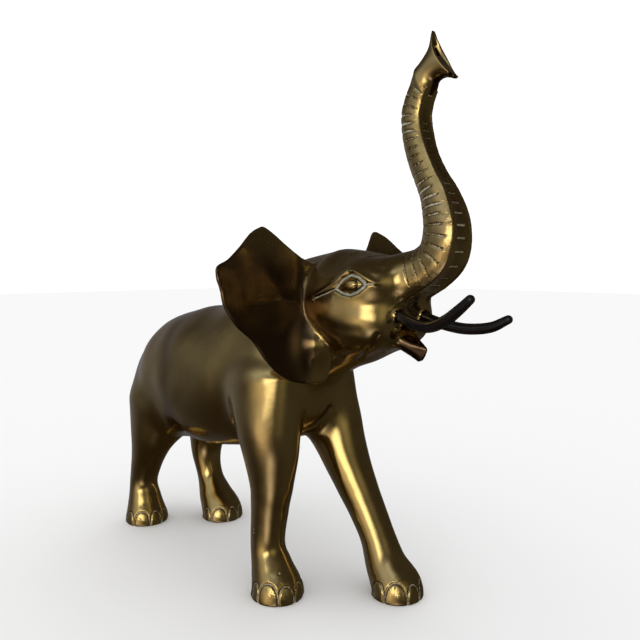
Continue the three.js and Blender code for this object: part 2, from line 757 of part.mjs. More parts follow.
function netOf(solid) {
  const { vertProperties, triVerts } = solid.getMesh();
  const points = [];
  for (let i = 0; i < vertProperties.length; i += 3) {
    points.push(new THREE.Vector3().fromArray(vertProperties, i));
  }
  const triangles = [];
  for (let i = 0; i < triVerts.length; i += 3) triangles.push([...triVerts.slice(i, i + 3)]);
  return { points, triangles };
}

function meshOf(solid, name, material) {
  const { points, triangles } = closeShortEdges(netOf(solid), SHORTEST_EDGE);
  const geometry = new THREE.BufferGeometry();
  geometry.setAttribute("position", new THREE.Float32BufferAttribute(points.flatMap((p) => p.toArray()), 3));
  geometry.setIndex(triangles.flat());
  geometry.computeVertexNormals();
  const mesh = new THREE.Mesh(geometry, material);
  mesh.name = name;
  return mesh;
}

const brass = new THREE.MeshStandardMaterial({ color: 0x8a6a2c, metalness: 1, roughness: 0.28 });
const figure = new THREE.Group();
figure.position.copy(FIGURE_SHIFT);
figure.add(meshOf(bodySolid(), "elephant_body", brass));
for (const [name, stations] of Object.entries(TUSKS)) {
  const horn = new THREE.MeshStandardMaterial({ color: 0x14110f, metalness: 0, roughness: 0.35 });
  figure.add(meshOf(tuskSolid(stations), name, horn));
}

export default figure;
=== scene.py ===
"""A cast brass elephant with a raised trunk and two dark tusks, on a pale floor.

Shapes are worked out in millimetres in the figure's own frame: it faces -Y, its left
side is +X and +Z is up. They are placed in the row frame in metres.
"""

import math

import bpy
import numpy as np
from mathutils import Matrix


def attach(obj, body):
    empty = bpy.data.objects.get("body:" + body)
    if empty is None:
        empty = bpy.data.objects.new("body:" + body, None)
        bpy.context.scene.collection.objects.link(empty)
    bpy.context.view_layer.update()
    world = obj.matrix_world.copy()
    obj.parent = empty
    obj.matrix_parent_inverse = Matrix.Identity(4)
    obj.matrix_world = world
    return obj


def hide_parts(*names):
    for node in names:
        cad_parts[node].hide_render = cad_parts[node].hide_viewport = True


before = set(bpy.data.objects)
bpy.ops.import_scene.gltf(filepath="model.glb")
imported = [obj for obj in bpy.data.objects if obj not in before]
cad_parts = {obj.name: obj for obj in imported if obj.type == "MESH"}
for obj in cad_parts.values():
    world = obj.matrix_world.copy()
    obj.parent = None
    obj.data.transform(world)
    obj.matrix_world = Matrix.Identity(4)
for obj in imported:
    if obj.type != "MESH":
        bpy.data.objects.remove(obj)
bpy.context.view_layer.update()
scene = bpy.context.scene

# Driving dimensions, the same as the solid model's
FIGURE_SHIFT = np.array([0, 47.71, 0])
FRONT_GAUGE = 35.6
HIND_GAUGE = 31.8
SOLE_RADIUS = 21.5
ANKLE_RADIUS = 14
FOOT_HEIGHT = 22
FRONT_FOOT_Y = {"right": -80.5, "left": -146.4}
HIND_FOOT_Y = {"right": 136.2, "left": 90.7}
BARREL_HALF_WIDTH = 60
BARREL_HALF_DEPTH = 66
HEAD_HALF_WIDTH = 42
TRUNK_RADIUS = 9.8
LIP_LENGTH = 41
LIP_HALF_WIDTH = 7.2
EAR_THICKNESS = 3.4
TUSK_RADIUS = 4

# Mesh fineness
GRID_STEP = 2.7
SPARE = 0.9  # thin walls are thicker by this on each side while the grid is read
STRIDE = 4  # rows of a limb that are skipped in a first search
FAR = 999.0


# Blends

def smooth_min(a, b, reach):
    h = np.maximum(reach - np.abs(a - b), 0) / reach
    return np.minimum(a, b) - h * h * h * reach / 6


def smooth_max(a, b, reach):
    return -smooth_min(-a, -b, reach)


def smooth_step(x, low, high):
    t = np.clip((x - low) / (high - low), 0, 1)
    return t * t * (3 - 2 * t)


def bell_curve(x, width):
    return np.exp(-((x / width) ** 2))


def catmull_rom(p0, p1, p2, p3, t):
    a = -p0 + p2
    b = 2 * p0 - 5 * p1 + 4 * p2 - p3
    c = -p0 + 3 * p1 - 3 * p2 + p3
    return 0.5 * (2 * p1 + a * t + b * t * t + c * t ** 3)


def spline_through(rows, steps):
    """A curve through all the rows but the first and the last two, which only steer it."""
    out = []
    for i in range(1, len(rows) - 2):
        for j in range(steps):
            out.append(catmull_rom(*rows[i - 1:i + 3], j / steps))
    return out


def spline_rows(rows, steps=20):
    rows = np.array(rows, float)
    padded = np.vstack([2 * rows[0] - rows[1], rows, 2 * rows[-1] - rows[-2]])
    return np.array([*spline_through(padded, steps), rows[-1]])


def closed_spline(rows, steps):
    rows = np.array(rows, float)
    return np.array(spline_through(np.vstack([rows[-1], rows, rows[:2]]), steps))


def grid(*axes):
    """All the points whose coordinates are taken from the axes."""
    return np.stack(np.meshgrid(*axes, indexing="ij"), -1)


def line_distance(points, line):
    """Distance from each point to a broken line, in two or three dimensions."""
    line = np.array(line, float)
    best = np.full(len(points), 1e12)
    for a, b in zip(line[:-1], line[1:]):
        span = b - a
        t = np.clip((points - a) @ span / (span @ span), 0, 1)
        gap = points - a - t[:, None] * span
        best = np.minimum(best, (gap * gap).sum(1))
    return np.sqrt(best)


def unit(vectors):
    return vectors / np.maximum(np.linalg.norm(vectors, axis=1, keepdims=True), 1e-9)


class Limb:
    """An ellipse swept along a line in an upright plane. Each station is
    [x, y, z, half width across X, half depth in the plane]."""

    reach = 40.0

    def __init__(self, stations, start_cap, end_cap, flat_share=None, flat_edge=1.6, power=2.0):
        self.rows = spline_rows(stations)
        self.start_cap = start_cap
        self.end_cap = end_cap
        self.flat_share = flat_share
        self.flat_edge = flat_edge
        self.power = power
        radius = self.rows[:, 3:5].max(1)[:, None]
        self.low = (self.rows[:, :3] - radius).min(0)
        self.high = (self.rows[:, :3] + radius).max(0)
        self.spans = np.diff(self.rows[:, 1:3], axis=0)
        self.lengths = np.linalg.norm(self.spans, axis=1)
        self.arcs = np.concatenate([[0], np.cumsum(self.lengths)])
        self.tangents = unit(np.gradient(self.rows[:, 1:3], axis=0))

    def local(self, points):
        """Side, depth, run past an end, station values, arc length, first and last masks."""
        rows = self.rows
        plane = points[:, 1:3]
        sparse = rows[::STRIDE, 1:3]
        score = (sparse ** 2).sum(1)[None] - 2 * plane @ sparse.T
        near = STRIDE * score.argmin(1)
        best = np.full(len(points), 1e18)
        at = np.zeros(len(points), int)
        part = np.zeros(len(points))
        for k in range(-STRIDE, STRIDE):
            j = np.clip(near + k, 0, len(rows) - 2)
            gap = plane - rows[j, 1:3]
            t = np.clip((gap * self.spans[j]).sum(1) / self.lengths[j] ** 2, 0, 1)
            far = ((gap - t[:, None] * self.spans[j]) ** 2).sum(1)
            closer = far < best
            best = np.where(closer, far, best)
            at = np.where(closer, j, at)
            part = np.where(closer, t, part)
        w = part[:, None]
        values = rows[at] * (1 - w) + rows[at + 1] * w
        tangent = unit(self.tangents[at] * (1 - w) + self.tangents[at + 1] * w)
        gap = plane - values[:, 1:3]
        along = (gap * tangent).sum(1)
        across = -gap[:, 0] * tangent[:, 1] + gap[:, 1] * tangent[:, 0]
        first = (at == 0) & (part <= 0)
        last = (at == len(rows) - 2) & (part >= 1)
        inside = ~(first | last)
        signed = np.where(across < 0, -1, 1) * np.hypot(across, along)
        across = np.where(inside, signed, across)
        along = np.where(inside, 0, along)
        arc = self.arcs[at] + part * self.lengths[at]
        return points[:, 0] - values[:, 0], across, along, values, arc, first, last

    def exact(self, points):
        side, across, along, values, _, first, last = self.local(points)
        wide, deep = values[:, 3], values[:, 4]
        cap = np.where(first, self.start_cap, np.where(last, self.end_cap, deep))
        k0 = np.sqrt((side / wide) ** 2 + (across / deep) ** 2 + (along / cap) ** 2)
        k1 = np.sqrt((side / wide ** 2) ** 2 + (across / deep ** 2) ** 2 + (along / cap ** 2) ** 2)
        d = k0 * (k0 - 1) / (k1 + 1e-9)
        if self.flat_share is None:
            return d
        a, b, p = np.abs(side) / wide, np.abs(across) / deep, self.power
        q = (a ** p + b ** p) ** (1 / p) + 1e-9
        squarer = (q - 1) / np.hypot((a / q) ** (p - 1) / wide, (b / q) ** (p - 1) / deep)
        d = np.where((across > 0) & ~first & ~last, squarer, d)
        return smooth_max(d, across - self.flat_share * deep, self.flat_edge)

    def __call__(self, points):
        outside = np.maximum(np.maximum(self.low - points, points - self.high), 0)
        far = np.sqrt((outside ** 2).sum(1))
        out = far + 8.0
        close = far < self.reach
        if close.any():
            out[close] = self.exact(points[close])
        return out


class Egg:
    """An ellipsoid tipped about X by a number of degrees."""

    def __init__(self, centre, radii, tilt=0.0):
        self.centre = np.array(centre, float)
        self.radii = np.array(radii, float)
        self.cos = math.cos(math.radians(tilt))
        self.sin = math.sin(math.radians(tilt))

    def __call__(self, points):
        gap = points - self.centre
        y = gap[:, 1] * self.cos + gap[:, 2] * self.sin
        z = -gap[:, 1] * self.sin + gap[:, 2] * self.cos
        local = np.stack([gap[:, 0], y, z], 1)
        k0 = np.sqrt(((local / self.radii) ** 2).sum(1))
        k1 = np.sqrt(((local / self.radii ** 2) ** 2).sum(1)) + 1e-9
        return k0 * (k0 - 1) / k1


def folded(points):
    """The points brought to the right side, where x is negative."""
    return np.column_stack([-np.abs(points[:, 0]), points[:, 1:]])


def both_sides(form, reach):
    """The form and its mirror image, blended where they meet."""
    return lambda points: smooth_min(form(points), form(points * [-1, 1, 1]), reach)


def blended(first, parts, points):
    """A form with others added in turn, each with how far it blends."""
    d = first(points)
    for part, blend in parts:
        d = smooth_min(d, part(points), blend)
    return d


def in_zone(points, low, high):
    """Whether each point is in a box that is the same on both sides, as [side, y, z]."""
    placed = np.column_stack([np.abs(points[:, 0]), points[:, 1:]])
    return ((placed > low) & (placed < high)).all(1)


# Torso, neck and head

torso = Limb([
    [0, -60, 172, 0.7 * BARREL_HALF_WIDTH, 0.76 * BARREL_HALF_DEPTH],
    [0, -10, 166, 0.92 * BARREL_HALF_WIDTH, 0.92 * BARREL_HALF_DEPTH],
    [0, 45, 161, BARREL_HALF_WIDTH, BARREL_HALF_DEPTH],
    [0, 90, 157, 0.88 * BARREL_HALF_WIDTH, 0.91 * BARREL_HALF_DEPTH],
    [0, 114, 150, 0.68 * BARREL_HALF_WIDTH, 0.76 * BARREL_HALF_DEPTH],
], 34, 31)
neck = Limb([
    [0, 30, 172, 36, 38],
    [0, -20, 190, 41, 45],
    [0, -60, 208, 40, 46],
    [0, -100, 226, 39, 46],
    [0, -132, 236, 38, 40],
], 30, 26)
skull = Egg([0, -141, 237], [HEAD_HALF_WIDTH, 46, 36.5], -8)
cheeks = both_sides(Egg([-21, -156, 226], [19, 30, 23], -8), 6)
brows = both_sides(Egg([-20, -160, 252], [21, 26, 19], -6), 10)
eyeballs = both_sides(Egg([-38.4, -164.2, 252.4], [4.4, 7.4, 5.2], -10), 1)
chin = Limb([
    [0, -120, 212, 26, 24],
    [0, -145, 212, 23, 17],
    [0, -166, 216, 18, 12],
    [0, -180, 216, 14, 8],
], 20, 4)
hips = both_sides(Egg([-24, 108, 136], [26, 36, 50], 8), 20)
lip_corner = Egg([-13.4, -184.2, 222.2], [4.2, 3.6, 3.6])

TRUNK_FLAT_SHARE = 0.84
TRUNK_FLAT_EDGE = 0.8
TRUNK_SQUARENESS = 2.9
trunk = Limb([
    [0, -150, 246, 34, 28],
    [0, -170, 250, 26, 22],
    [0, -184, 257, 21, 18.5],
    [0, -201, 264, 17.5, 16.5],
    [0, -212, 274, 16, 16],
    [0, -215, 291, 14.5, 15],
    [0, -210, 310, 12.5, 12.8],
    [0, -202, 325, 10.8, 11],
    [0, -193, 344, 10, 10.3],
    [0, -188.5, 366, TRUNK_RADIUS, TRUNK_RADIUS],
    [0, -190.4, 377, 0.9 * TRUNK_RADIUS, TRUNK_RADIUS],
    [0, -195.2, 387, 0.84 * TRUNK_RADIUS, 0.95 * TRUNK_RADIUS],
], 20, 7, TRUNK_FLAT_SHARE, TRUNK_FLAT_EDGE, TRUNK_SQUARENESS)

# The lips at the trunk's tip flare into a long narrow opening.
LIP_CENTRE = np.array([-212.4, 403.8])
LIP_DIRECTION = np.array([-0.861, 0.508])
LIP_UP = np.array([0.508, 0.861])
LIP_WALL = 1.5


def lip_station(back, wide, deep):
    y, z = LIP_CENTRE - back * LIP_DIRECTION
    return [0, y, z, wide, deep]


lips_outer = Limb([
    lip_station(20, 7.8, 7.4),
    lip_station(13, 7.9, 9.3),
    lip_station(6, 7.6, 13),
    lip_station(0, LIP_HALF_WIDTH, LIP_LENGTH / 2),
    lip_station(-6, 7, 27),
], 3, 3)
FACE_AHEAD = 1.2  # the opening's face, in front of the lips' centre
SETBACK = 4.2  # the most that the opening's edge is set back
SETBACK_UP = -5
SETBACK_BELOW = 15.5
SETBACK_ABOVE = 25.5
FUNNEL_DEPTH = 13
FUNNEL_PINCH = 0.4
TIP_BEGINS = 360
FLARE_BEGINS = 380


def whole_trunk(points):
    return smooth_min(trunk(points), lips_outer(points), 10)


def lip_frame(points):
    """How far in front of the opening each point is, and how far up it."""
    gap = points[:, 1:3] - LIP_CENTRE
    return gap @ LIP_DIRECTION, gap @ LIP_UP


def lip_cut(side, ahead, up, funnel):
    """Positive where the opening is cut away. Its edge is set back in its lower half, and
    inside it a funnel goes down, narrower at its top."""
    width = np.where(up < SETBACK_UP, SETBACK_BELOW, SETBACK_ABOVE)
    setback = SETBACK * np.maximum(1 - ((up - SETBACK_UP) / width) ** 2, 0)
    cut = ahead - FACE_AHEAD + setback
    if funnel:
        cut = cut + funnel_depth(side, up)
    return cut


def funnel_depth(side, up):
    pinch = 1 - FUNNEL_PINCH * smooth_step(up, -6, 22)
    wide = (LIP_HALF_WIDTH - LIP_WALL) * pinch
    q = np.hypot(side / wide, up / (LIP_LENGTH / 2 - LIP_WALL))
    return FUNNEL_DEPTH * np.maximum(1 - q * q, 0) ** 2


# The lower lip is a short pointed spout under the open mouth.
lower_lip = Limb([
    [0, -160, 218, 16, 9],
    [0, -178, 215, 12.5, 7.5],
    [0, -190, 209, 7, 6.4],
    [0, -198, 203.8, 1.3, 6],
], 8, 1)
lower_lip_inside = Limb([
    [0, -172, 224, 12, 8],
    [0, -182, 219, 9.4, 7],
    [0, -191, 213.5, 5, 5.6],
    [0, -196.5, 211, 1.2, 4],
], 6, 1)
mouth = Limb([
    [0, -172, 222, 6, 5],
    [0, -186, 222, 10, 7],
    [0, -205, 218, 10, 9],
    [0, -220, 214, 10, 10],
], 4, 6)

# The edge of the trunk's flat runs on past the tusk as a lip ridge.
LIP_RIDGE = [
    [-7.6, -218, 286], [-8.8, -221.5, 277], [-10.3, -219.5, 268.5], [-11.4, -212.3, 261],
    [-11.4, -201.5, 251.6], [-12.8, -192.0, 244.4], [-17.4, -187, 239.4], [-22.4, -183, 233.8],
]


def leg(x, foot_y, upper):
    """A leg from its sole up. Above the ankle each row is
    [y, z, half width, half depth, how far it leans outwards]."""
    side = math.copysign(1, x)
    heel = 0.45 * foot_y + 0.55 * upper[0][0]
    stations = [
        [x, foot_y, -6, SOLE_RADIUS, SOLE_RADIUS],
        [x, foot_y, 6, SOLE_RADIUS - 0.5, SOLE_RADIUS - 0.5],
        [x, heel, FOOT_HEIGHT, 17, 17],
    ]
    for y, z, wide, deep, outward in upper:
        stations.append([x + side * outward, y, z, wide, deep])
    return Limb(stations, 20, 20)


front_right_leg = leg(-FRONT_GAUGE, FRONT_FOOT_Y["right"], [
    [-69.5, 40, ANKLE_RADIUS, 14.4, 0],
    [-72.4, 72, 15.5, 16, 0],
    [-75, 91, 17.5, 18.5, 0],
    [-74, 118, 22, 25, 0.4],
    [-70, 142, 24, 30, 0.4],
    [-64, 172, 24, 34, -1.6],
])
front_left_leg = leg(FRONT_GAUGE, FRONT_FOOT_Y["left"], [
    [-126.6, 41, 14.6, 14.7, 0],
    [-115, 60, 15.2, 15.3, 0],
    [-104, 77, 16.8, 17, 0],
    [-85, 108, 21, 21.5, 0.4],
    [-70, 136, 24, 28, 0.4],
    [-60, 165, 24, 34, -1.6],
])
hind_right_leg = leg(-HIND_GAUGE, HIND_FOOT_Y["right"], [
    [140.5, 41, ANKLE_RADIUS, ANKLE_RADIUS, 0],
    [132, 66, 16, 17, 0],
    [119, 96, 20, 25, 1],
    [111, 128, 22, 31, 1],
])
hind_left_leg = leg(HIND_GAUGE, HIND_FOOT_Y["left"], [
    [112, 41, 13.2, 13.2, 0],
    [118, 66, 16, 16, 0],
    [114, 96, 20, 25, 1],
    [109, 128, 22, 31, 1],
])

# Tusks: [x, y, z, share of the radius]
TUSKS = {
    "tusk_right": [
        [-14.4, -180, 233.5, 1],
        [-15, -189, 231, 1],
        [-17, -203.6, 226.6, 1],
        [-19, -217.5, 226.3, 0.98],
        [-21, -230.6, 231.1, 0.95],
        [-22, -241, 238.1, 0.88],
        [-22.5, -250, 245.5, 0.75],
    ],
    "tusk_left": [
        [14.4, -180, 231.5, 1],
        [15, -189, 228.5, 1],
        [17, -203.6, 224.6, 1],
        [19, -220, 222.6, 0.98],
        [21, -237.4, 224.6, 0.92],
        [22.5, -250, 230.6, 0.75],
    ],
}
BOSS_RADIUS = 5.4
SOCKET_GAP = 0.3


def boss_field(points, stations):
    inner = np.array(stations[0][:3])
    span = np.array(stations[1][:3]) - inner
    t = np.clip((points - inner) @ span / (span @ span), 0, 0.75)
    return np.linalg.norm(points - inner - t[:, None] * span, axis=1) - BOSS_RADIUS


def socket_field(points, stations):
    return line_distance(points, [row[:3] for row in stations[:4]]) - TUSK_RADIUS - SOCKET_GAP


# Ears, each in its own plane: u outwards from the root, v upwards

EAR_OUTLINE = [
    [0, 37.5], [5.4, 40.3], [14.7, 48], [24.5, 56.4], [32, 61.3], [37, 60], [45.2, 54.7], [56.1, 42.9],
    [67.7, 33], [78, 27], [79, 19], [76.2, 11], [73, -1], [62.8, -13.5], [48.7, -25], [38.6, -37.5],
    [26.6, -47.6], [13.5, -53], [-2.5, -55], [-10.6, -53], [-14, -46], [-14, -30], [-20, -15], [-22, 10],
    [-14, 30],
]
LEFT_LOBE_SHARE = 0.8
RIM_STEP = 0.5


class Ear:
    """A thin bowed plate, thicker at its root."""

    origin = np.array([-36, -119.5, 233])
    out = np.array([-0.987, 0.143, 0.071])
    up = np.array([0.089, 0.122, 0.989])
    front = np.cross(up, out)

    def __init__(self, left):
        self.left = left
        shape = [[u, v * LEFT_LOBE_SHARE if left and v < 0 else v] for u, v in EAR_OUTLINE]
        self.outline = closed_spline(shape, 5)
        self.low = self.outline.min(0)
        self.high = self.outline.max(0)
        self.corner = self.low - 34
        size = np.ceil((self.high + 34 - self.corner) / RIM_STEP).astype(int)
        flat = self.corner + RIM_STEP * grid(*map(np.arange, size)).reshape(-1, 2)
        self.rims = self.measured_rim(flat).reshape(size)

    def bow(self, u, v):
        tip = 6.7 * (u / 75) ** 2 - 11 * (np.maximum(v, 0) / 60) ** 2
        if self.left:
            return tip - 14 * (np.minimum(v, 0) / 45) ** 2
        return tip + 12 * bell_curve(u + 5, 14) * bell_curve(v + 25, 16)

    def plane(self, points):
        gap = points - self.origin
        return gap @ self.out, gap @ self.up, gap @ self.front

    def rim_distance(self, flat):
        """Signed distance to the outline, read between the points of a fine grid."""
        place = (flat - self.corner) / RIM_STEP
        cell = np.clip(np.floor(place).astype(int), 0, np.array(self.rims.shape) - 2)
        a, b = np.clip(place - cell, 0, 1).T
        i, j = cell.T
        low = self.rims[i, j] * (1 - a) + self.rims[i + 1, j] * a
        high = self.rims[i, j + 1] * (1 - a) + self.rims[i + 1, j + 1] * a
        return low * (1 - b) + high * b

    def measured_rim(self, flat):
        closed = np.vstack([self.outline, self.outline[:1]])
        inside = np.zeros(len(flat), bool)
        for a, b in zip(closed[:-1], closed[1:]):
            crossed = (a[1] <= flat[:, 1]) != (b[1] <= flat[:, 1])
            run = (flat[:, 1] - a[1]) / ((b[1] - a[1]) or 1e-9)
            inside ^= crossed & (flat[:, 0] < a[0] + run * (b[0] - a[0]))
        return np.where(inside, -1, 1) * line_distance(flat, closed)

    def __call__(self, points, spare=0.0):
        u, v, w = self.plane(points)
        flat = np.stack([u, v], 1)
        sides = np.maximum(self.low - flat, flat - self.high).max(1)
        out = np.hypot(np.maximum(sides, 0), np.maximum(np.abs(w) - 25, 0)) + 6.0
        close = out < 31
        if close.any():
            uc, vc, wc = u[close], v[close], w[close]
            rim = self.rim_distance(flat[close]) - spare
            half = 0.5 * (EAR_THICKNESS + 5 * np.exp(-np.maximum(uc - 4, 0) / 9)) + spare
            edge = np.minimum(0.98 * half, 1.5 + spare)
            a = rim + edge
            b = np.abs(wc - self.bow(uc, vc)) * 0.93 - half + edge
            outside = np.hypot(np.maximum(a, 0), np.maximum(b, 0))
            out[close] = outside + np.minimum(np.maximum(a, b), 0) - edge
        return out


right_ear = Ear(left=False)
left_ear = Ear(left=True)


def ears_field(points, spare):
    return np.minimum(right_ear(points, spare), left_ear(points * [-1, 1, 1], spare))


# Parts of the head added to the skull in turn, and how far each blends
HEAD_PARTS = [(neck, 20), (cheeks, 14), (brows, 10), (chin, 12), (whole_trunk, 16)]
MUZZLE = ([-FAR, -FAR, -FAR], [FAR, -165, 332])


def muzzle_field(points, head, spare):
    """The head's field with the tusks' bosses, the lips and the open mouth."""
    side = folded(points)
    d = head
    for stations in TUSKS.values():
        d = smooth_min(d, boss_field(points, stations), 4)
    d = smooth_min(d, line_distance(side, LIP_RIDGE) - 1.5 - 0.3 * spare, 2.5)
    d = smooth_min(d, lower_lip(points), 4)
    hollow = smooth_min(mouth(points), lower_lip_inside(points) + 0.6 * spare, 3)
    d = smooth_max(d, -hollow, 1.2)
    return smooth_min(d, lip_corner(side), 1.5)


def head_field(points, spare, funnel):
    d = blended(skull, HEAD_PARTS, points)
    near = in_zone(points, *MUZZLE)
    if near.any():
        d[near] = muzzle_field(points[near], d[near], spare)
    d = smooth_min(d, eyeballs(points), 1.2)
    tip = points[:, 2] > TIP_BEGINS
    if tip.any():
        ahead, up = lip_frame(points[tip])
        cut = lip_cut(points[tip, 0], ahead, up, funnel)
        d[tip] = smooth_max(d[tip], 0.5 * cut, 0.9)
    return d


# Relief: how deep the surface is cut, and how much pale residue lies in the cut

RING_FIRST = 48.0  # along the trunk's own line, from its root
RING_GAP_LOW = 7.0
RING_GAP_HIGH = 5.4
RING_COUNT = 27


def ring_places():
    places = [RING_FIRST]
    for i in range(1, RING_COUNT):
        share = i / (RING_COUNT - 1)
        places.append(places[-1] + RING_GAP_LOW + (RING_GAP_HIGH - RING_GAP_LOW) * share)
    return np.array(places)


RINGS = ring_places()

# Toenails: (foot centre x, y, [(degrees from -Y towards -X, half width in degrees, height)])
NAILS = [
    (-FRONT_GAUGE, FRONT_FOOT_Y["right"],
     [(100, 16, 14), (62, 25, 16.5), (19, 18, 14.5), (-20, 17, 14), (-57, 17, 12.5)]),
    (FRONT_GAUGE, FRONT_FOOT_Y["left"],
     [(97, 19, 14), (51, 25, 16.5), (9, 16, 14.5), (-28, 17, 14), (-65, 17, 12.5)]),
    (-HIND_GAUGE, HIND_FOOT_Y["right"],
     [(85, 17, 12.5), (43, 22, 14.5), (2, 16, 14), (-35, 17, 12.5), (-72, 16, 12)]),
    (HIND_GAUGE, HIND_FOOT_Y["left"],
     [(86, 17, 12.5), (43, 22, 14.5), (2, 16, 14), (-35, 17, 12.5), (-72, 16, 12)]),
]

# Lines on the side of the head, as (y, z)
EYE_LINE = [
    [-152.6, 249.9], [-158.1, 247.2], [-164.6, 246.0], [-170.6, 248.2], [-175.4, 252.2], [-175.2, 254.6],
    [-170.9, 258.2], [-164.4, 259.6], [-158.2, 256.6], [-154.4, 252.6], [-152.6, 249.9],
]
EYE_FRONT_CORNER = [[-175.3, 253.4], [-180.5, 253.8]]
TEAR_LINE = [[-136.0, 243.4], [-144.0, 246.4], [-149.0, 248.6], [-152.6, 249.9]]
LID_LINE = [
    [-133.0, 244.2], [-144.0, 250.2], [-151.5, 255.0], [-157.0, 259.6], [-161.5, 263.2], [-166.0, 263.4],
    [-172.0, 260.4], [-178.0, 257.0], [-182.0, 254.4],
]
NUB = np.array([-132.0, 241.5])

JAW_CREASE = [[-29, -181, 219], [-28, -174, 211.4], [-23, -163, 203.6], [-12.3, -147.5, 195.1]]
CHEEK_FOLD = [[-42, -146, 224], [-40, -158, 222], [-36, -170, 222]]
CHEST_CREASE = [
    [14, -91, 148], [12.4, -90.7, 145.3], [7.1, -87.7, 138.9], [-0.5, -84.9, 133.8], [-8, -84, 131],
]
FLANK_VALLEY = [[62, 206], [56, 190], [49.3, 171.5], [48.9, 143.8], [60, 112]]
PITS = [[-49.2, -68.5, 54.8], [-49.1, -68.4, 52.0], [-42.7, -91.7, 23.2]]
EAR_FOLD_HIGH = [[-70.7, 261], [-67.3, 256.7], [-64, 251], [-61.6, 244.5]]
EAR_FOLD_LOW = [[-88.1, 244], [-78, 240.8], [-69.5, 239.8], [-62.1, 241.7]]


RING_WIDTH = 0.65
RING_DEPTH = 0.6
TICK_SHARE = 0.7
DISH_DEPTH = 0.45
RIDGE_HEIGHT = 0.75


def trunk_rings(points):
    """Rings scored across the trunk's flanks and ticks down its flat front, between two ridges."""
    side, across, _, values, arc, _, _ = trunk.local(points)
    side = np.abs(side)
    wide, deep = values[:, 3], values[:, 4]
    turn = np.degrees(np.arctan2(across / deep, side / wide))
    slanted = arc + 0.1 * across + 0.5 * np.sin(0.9 * arc)
    index = np.clip(np.searchsorted(RINGS, slanted), 1, RING_COUNT - 1)
    gap = np.minimum(np.abs(slanted - RINGS[index]), np.abs(slanted - RINGS[index - 1]))
    wander = 8 * np.sin(1.7 * arc)
    flank = smooth_step(turn, -72 + wander, -54 + wander)
    flank = flank * (1 - smooth_step(turn, 22 + wander, 38 + wander))
    front = smooth_step(across, 0.66 * deep, 0.8 * deep)
    tick = front * (1 - smooth_step(side, 0.26 * wide, 0.44 * wide))
    tip = trunk.arcs[-1]
    rings = bell_curve(gap, RING_WIDTH) * (flank + TICK_SHARE * tick)
    rings = rings * (1 - smooth_step(arc, tip - 3, tip))
    in_front = smooth_step(across, 0.45 * deep, 0.7 * deep)
    in_front = in_front * smooth_step(arc, RING_FIRST - 12, RING_FIRST)
    in_front = in_front * (1 - smooth_step(arc, tip - 16, tip - 2))
    ridge = bell_curve(side - 0.7 * wide, 0.1 * wide)
    dish = bell_curve(side, 0.34 * wide)
    return RING_DEPTH * rings + in_front * (DISH_DEPTH * dish - RIDGE_HEIGHT * ridge), rings


NAIL_SQUARENESS = 2.5
NAIL_GROOVE = 0.8
NAIL_RISE = 0.35


def toenails(points, x, y, nails):
    """A groove round each nail, with the nail's plate standing a little proud."""
    gap = points[:, :2] - [x, y]
    turn = np.degrees(np.arctan2(-gap[:, 0], -gap[:, 1]))
    depth = np.zeros(len(points))
    stain = np.zeros(len(points))
    p = NAIL_SQUARENESS
    for angle, half, height in nails:
        wide = math.radians(half) * SOLE_RADIUS
        a = np.abs((turn - angle + 180) % 360 - 180) / half
        h = np.maximum(points[:, 2], 0) / height
        q = (a ** p + h ** p) ** (1 / p) + 1e-6
        slope = np.hypot((a / q) ** (p - 1) / wide, (h / q) ** (p - 1) / height)
        away = (q - 1) / slope
        cut = bell_curve(away, 0.85)
        depth = np.maximum(depth, NAIL_GROOVE * cut) - NAIL_RISE * smooth_step(-away, 0.6, 3.4)
        stain = np.maximum(stain, 0.8 * cut)
    return depth, stain


def eye_relief(points):
    """The groove round the eye, its corner and tear line, and the raised lid."""
    plane = points[:, 1:3]
    ring = line_distance(plane, EYE_LINE)
    corner = line_distance(plane, EYE_FRONT_CORNER)
    tear = line_distance(plane, TEAR_LINE)
    lid = line_distance(plane, LID_LINE)
    nub = np.linalg.norm(plane - NUB, axis=1)
    depth = 1.5 * bell_curve(ring, 1.35)
    depth = np.maximum(depth, 0.9 * bell_curve(corner, 0.9))
    depth = np.maximum(depth, 1.0 * bell_curve(tear, 1.0))
    depth = depth - 1.3 * bell_curve(lid, 1.7) - 0.9 * bell_curve(nub, 1.6)
    stain = np.maximum(bell_curve(ring, 1.25), 0.95 * bell_curve(corner, 0.9))
    stain = np.maximum(stain, 0.9 * bell_curve(tear, 0.8))
    return depth, stain


def jaw_relief(points):
    side = folded(points)
    crease = bell_curve(line_distance(side, JAW_CREASE), 2.2)
    fold = bell_curve(line_distance(side, CHEEK_FOLD), 4)
    return 0.7 * crease + 0.6 * fold, 0.1 * crease


def chest_relief(points):
    away = line_distance(points, CHEST_CREASE)
    return 1.5 * bell_curve(away, 2.4), 0.1 * bell_curve(away, 1.2)


def flank_relief(points):
    return 0.7 * bell_curve(line_distance(points[:, 1:3], FLANK_VALLEY), 12), 0


def ear_relief(points):
    side = folded(points)
    u, v, w = right_ear.plane(side)
    in_front = smooth_step(w - right_ear.bow(u, v), 0.2, 1.2)
    plane = side[:, [0, 2]]
    folds = 0.5 * bell_curve(line_distance(plane, EAR_FOLD_HIGH), 4)
    folds = folds + 0.35 * bell_curve(line_distance(plane, EAR_FOLD_LOW), 4)
    return -folds * in_front, 0


# Zones that are carved, as lowest and highest [side, y, z]
CARVINGS = [
    ([-FAR, -FAR, 240], [24, -178, 386], trunk_rings),
    ([22, -188, 232], [FAR, -124, 272], eye_relief),
    ([-FAR, -FAR, 188], [FAR, -135, 240], jaw_relief),
    ([-FAR, -FAR, 118], [FAR, -60, 158], chest_relief),
    ([18, 20, 95], [FAR, 90, FAR], flank_relief),
    ([50, -FAR, 225], [FAR, -105, 275], ear_relief),
]
PIT_WIDTH = 0.8
PIT_DEPTH = 0.5


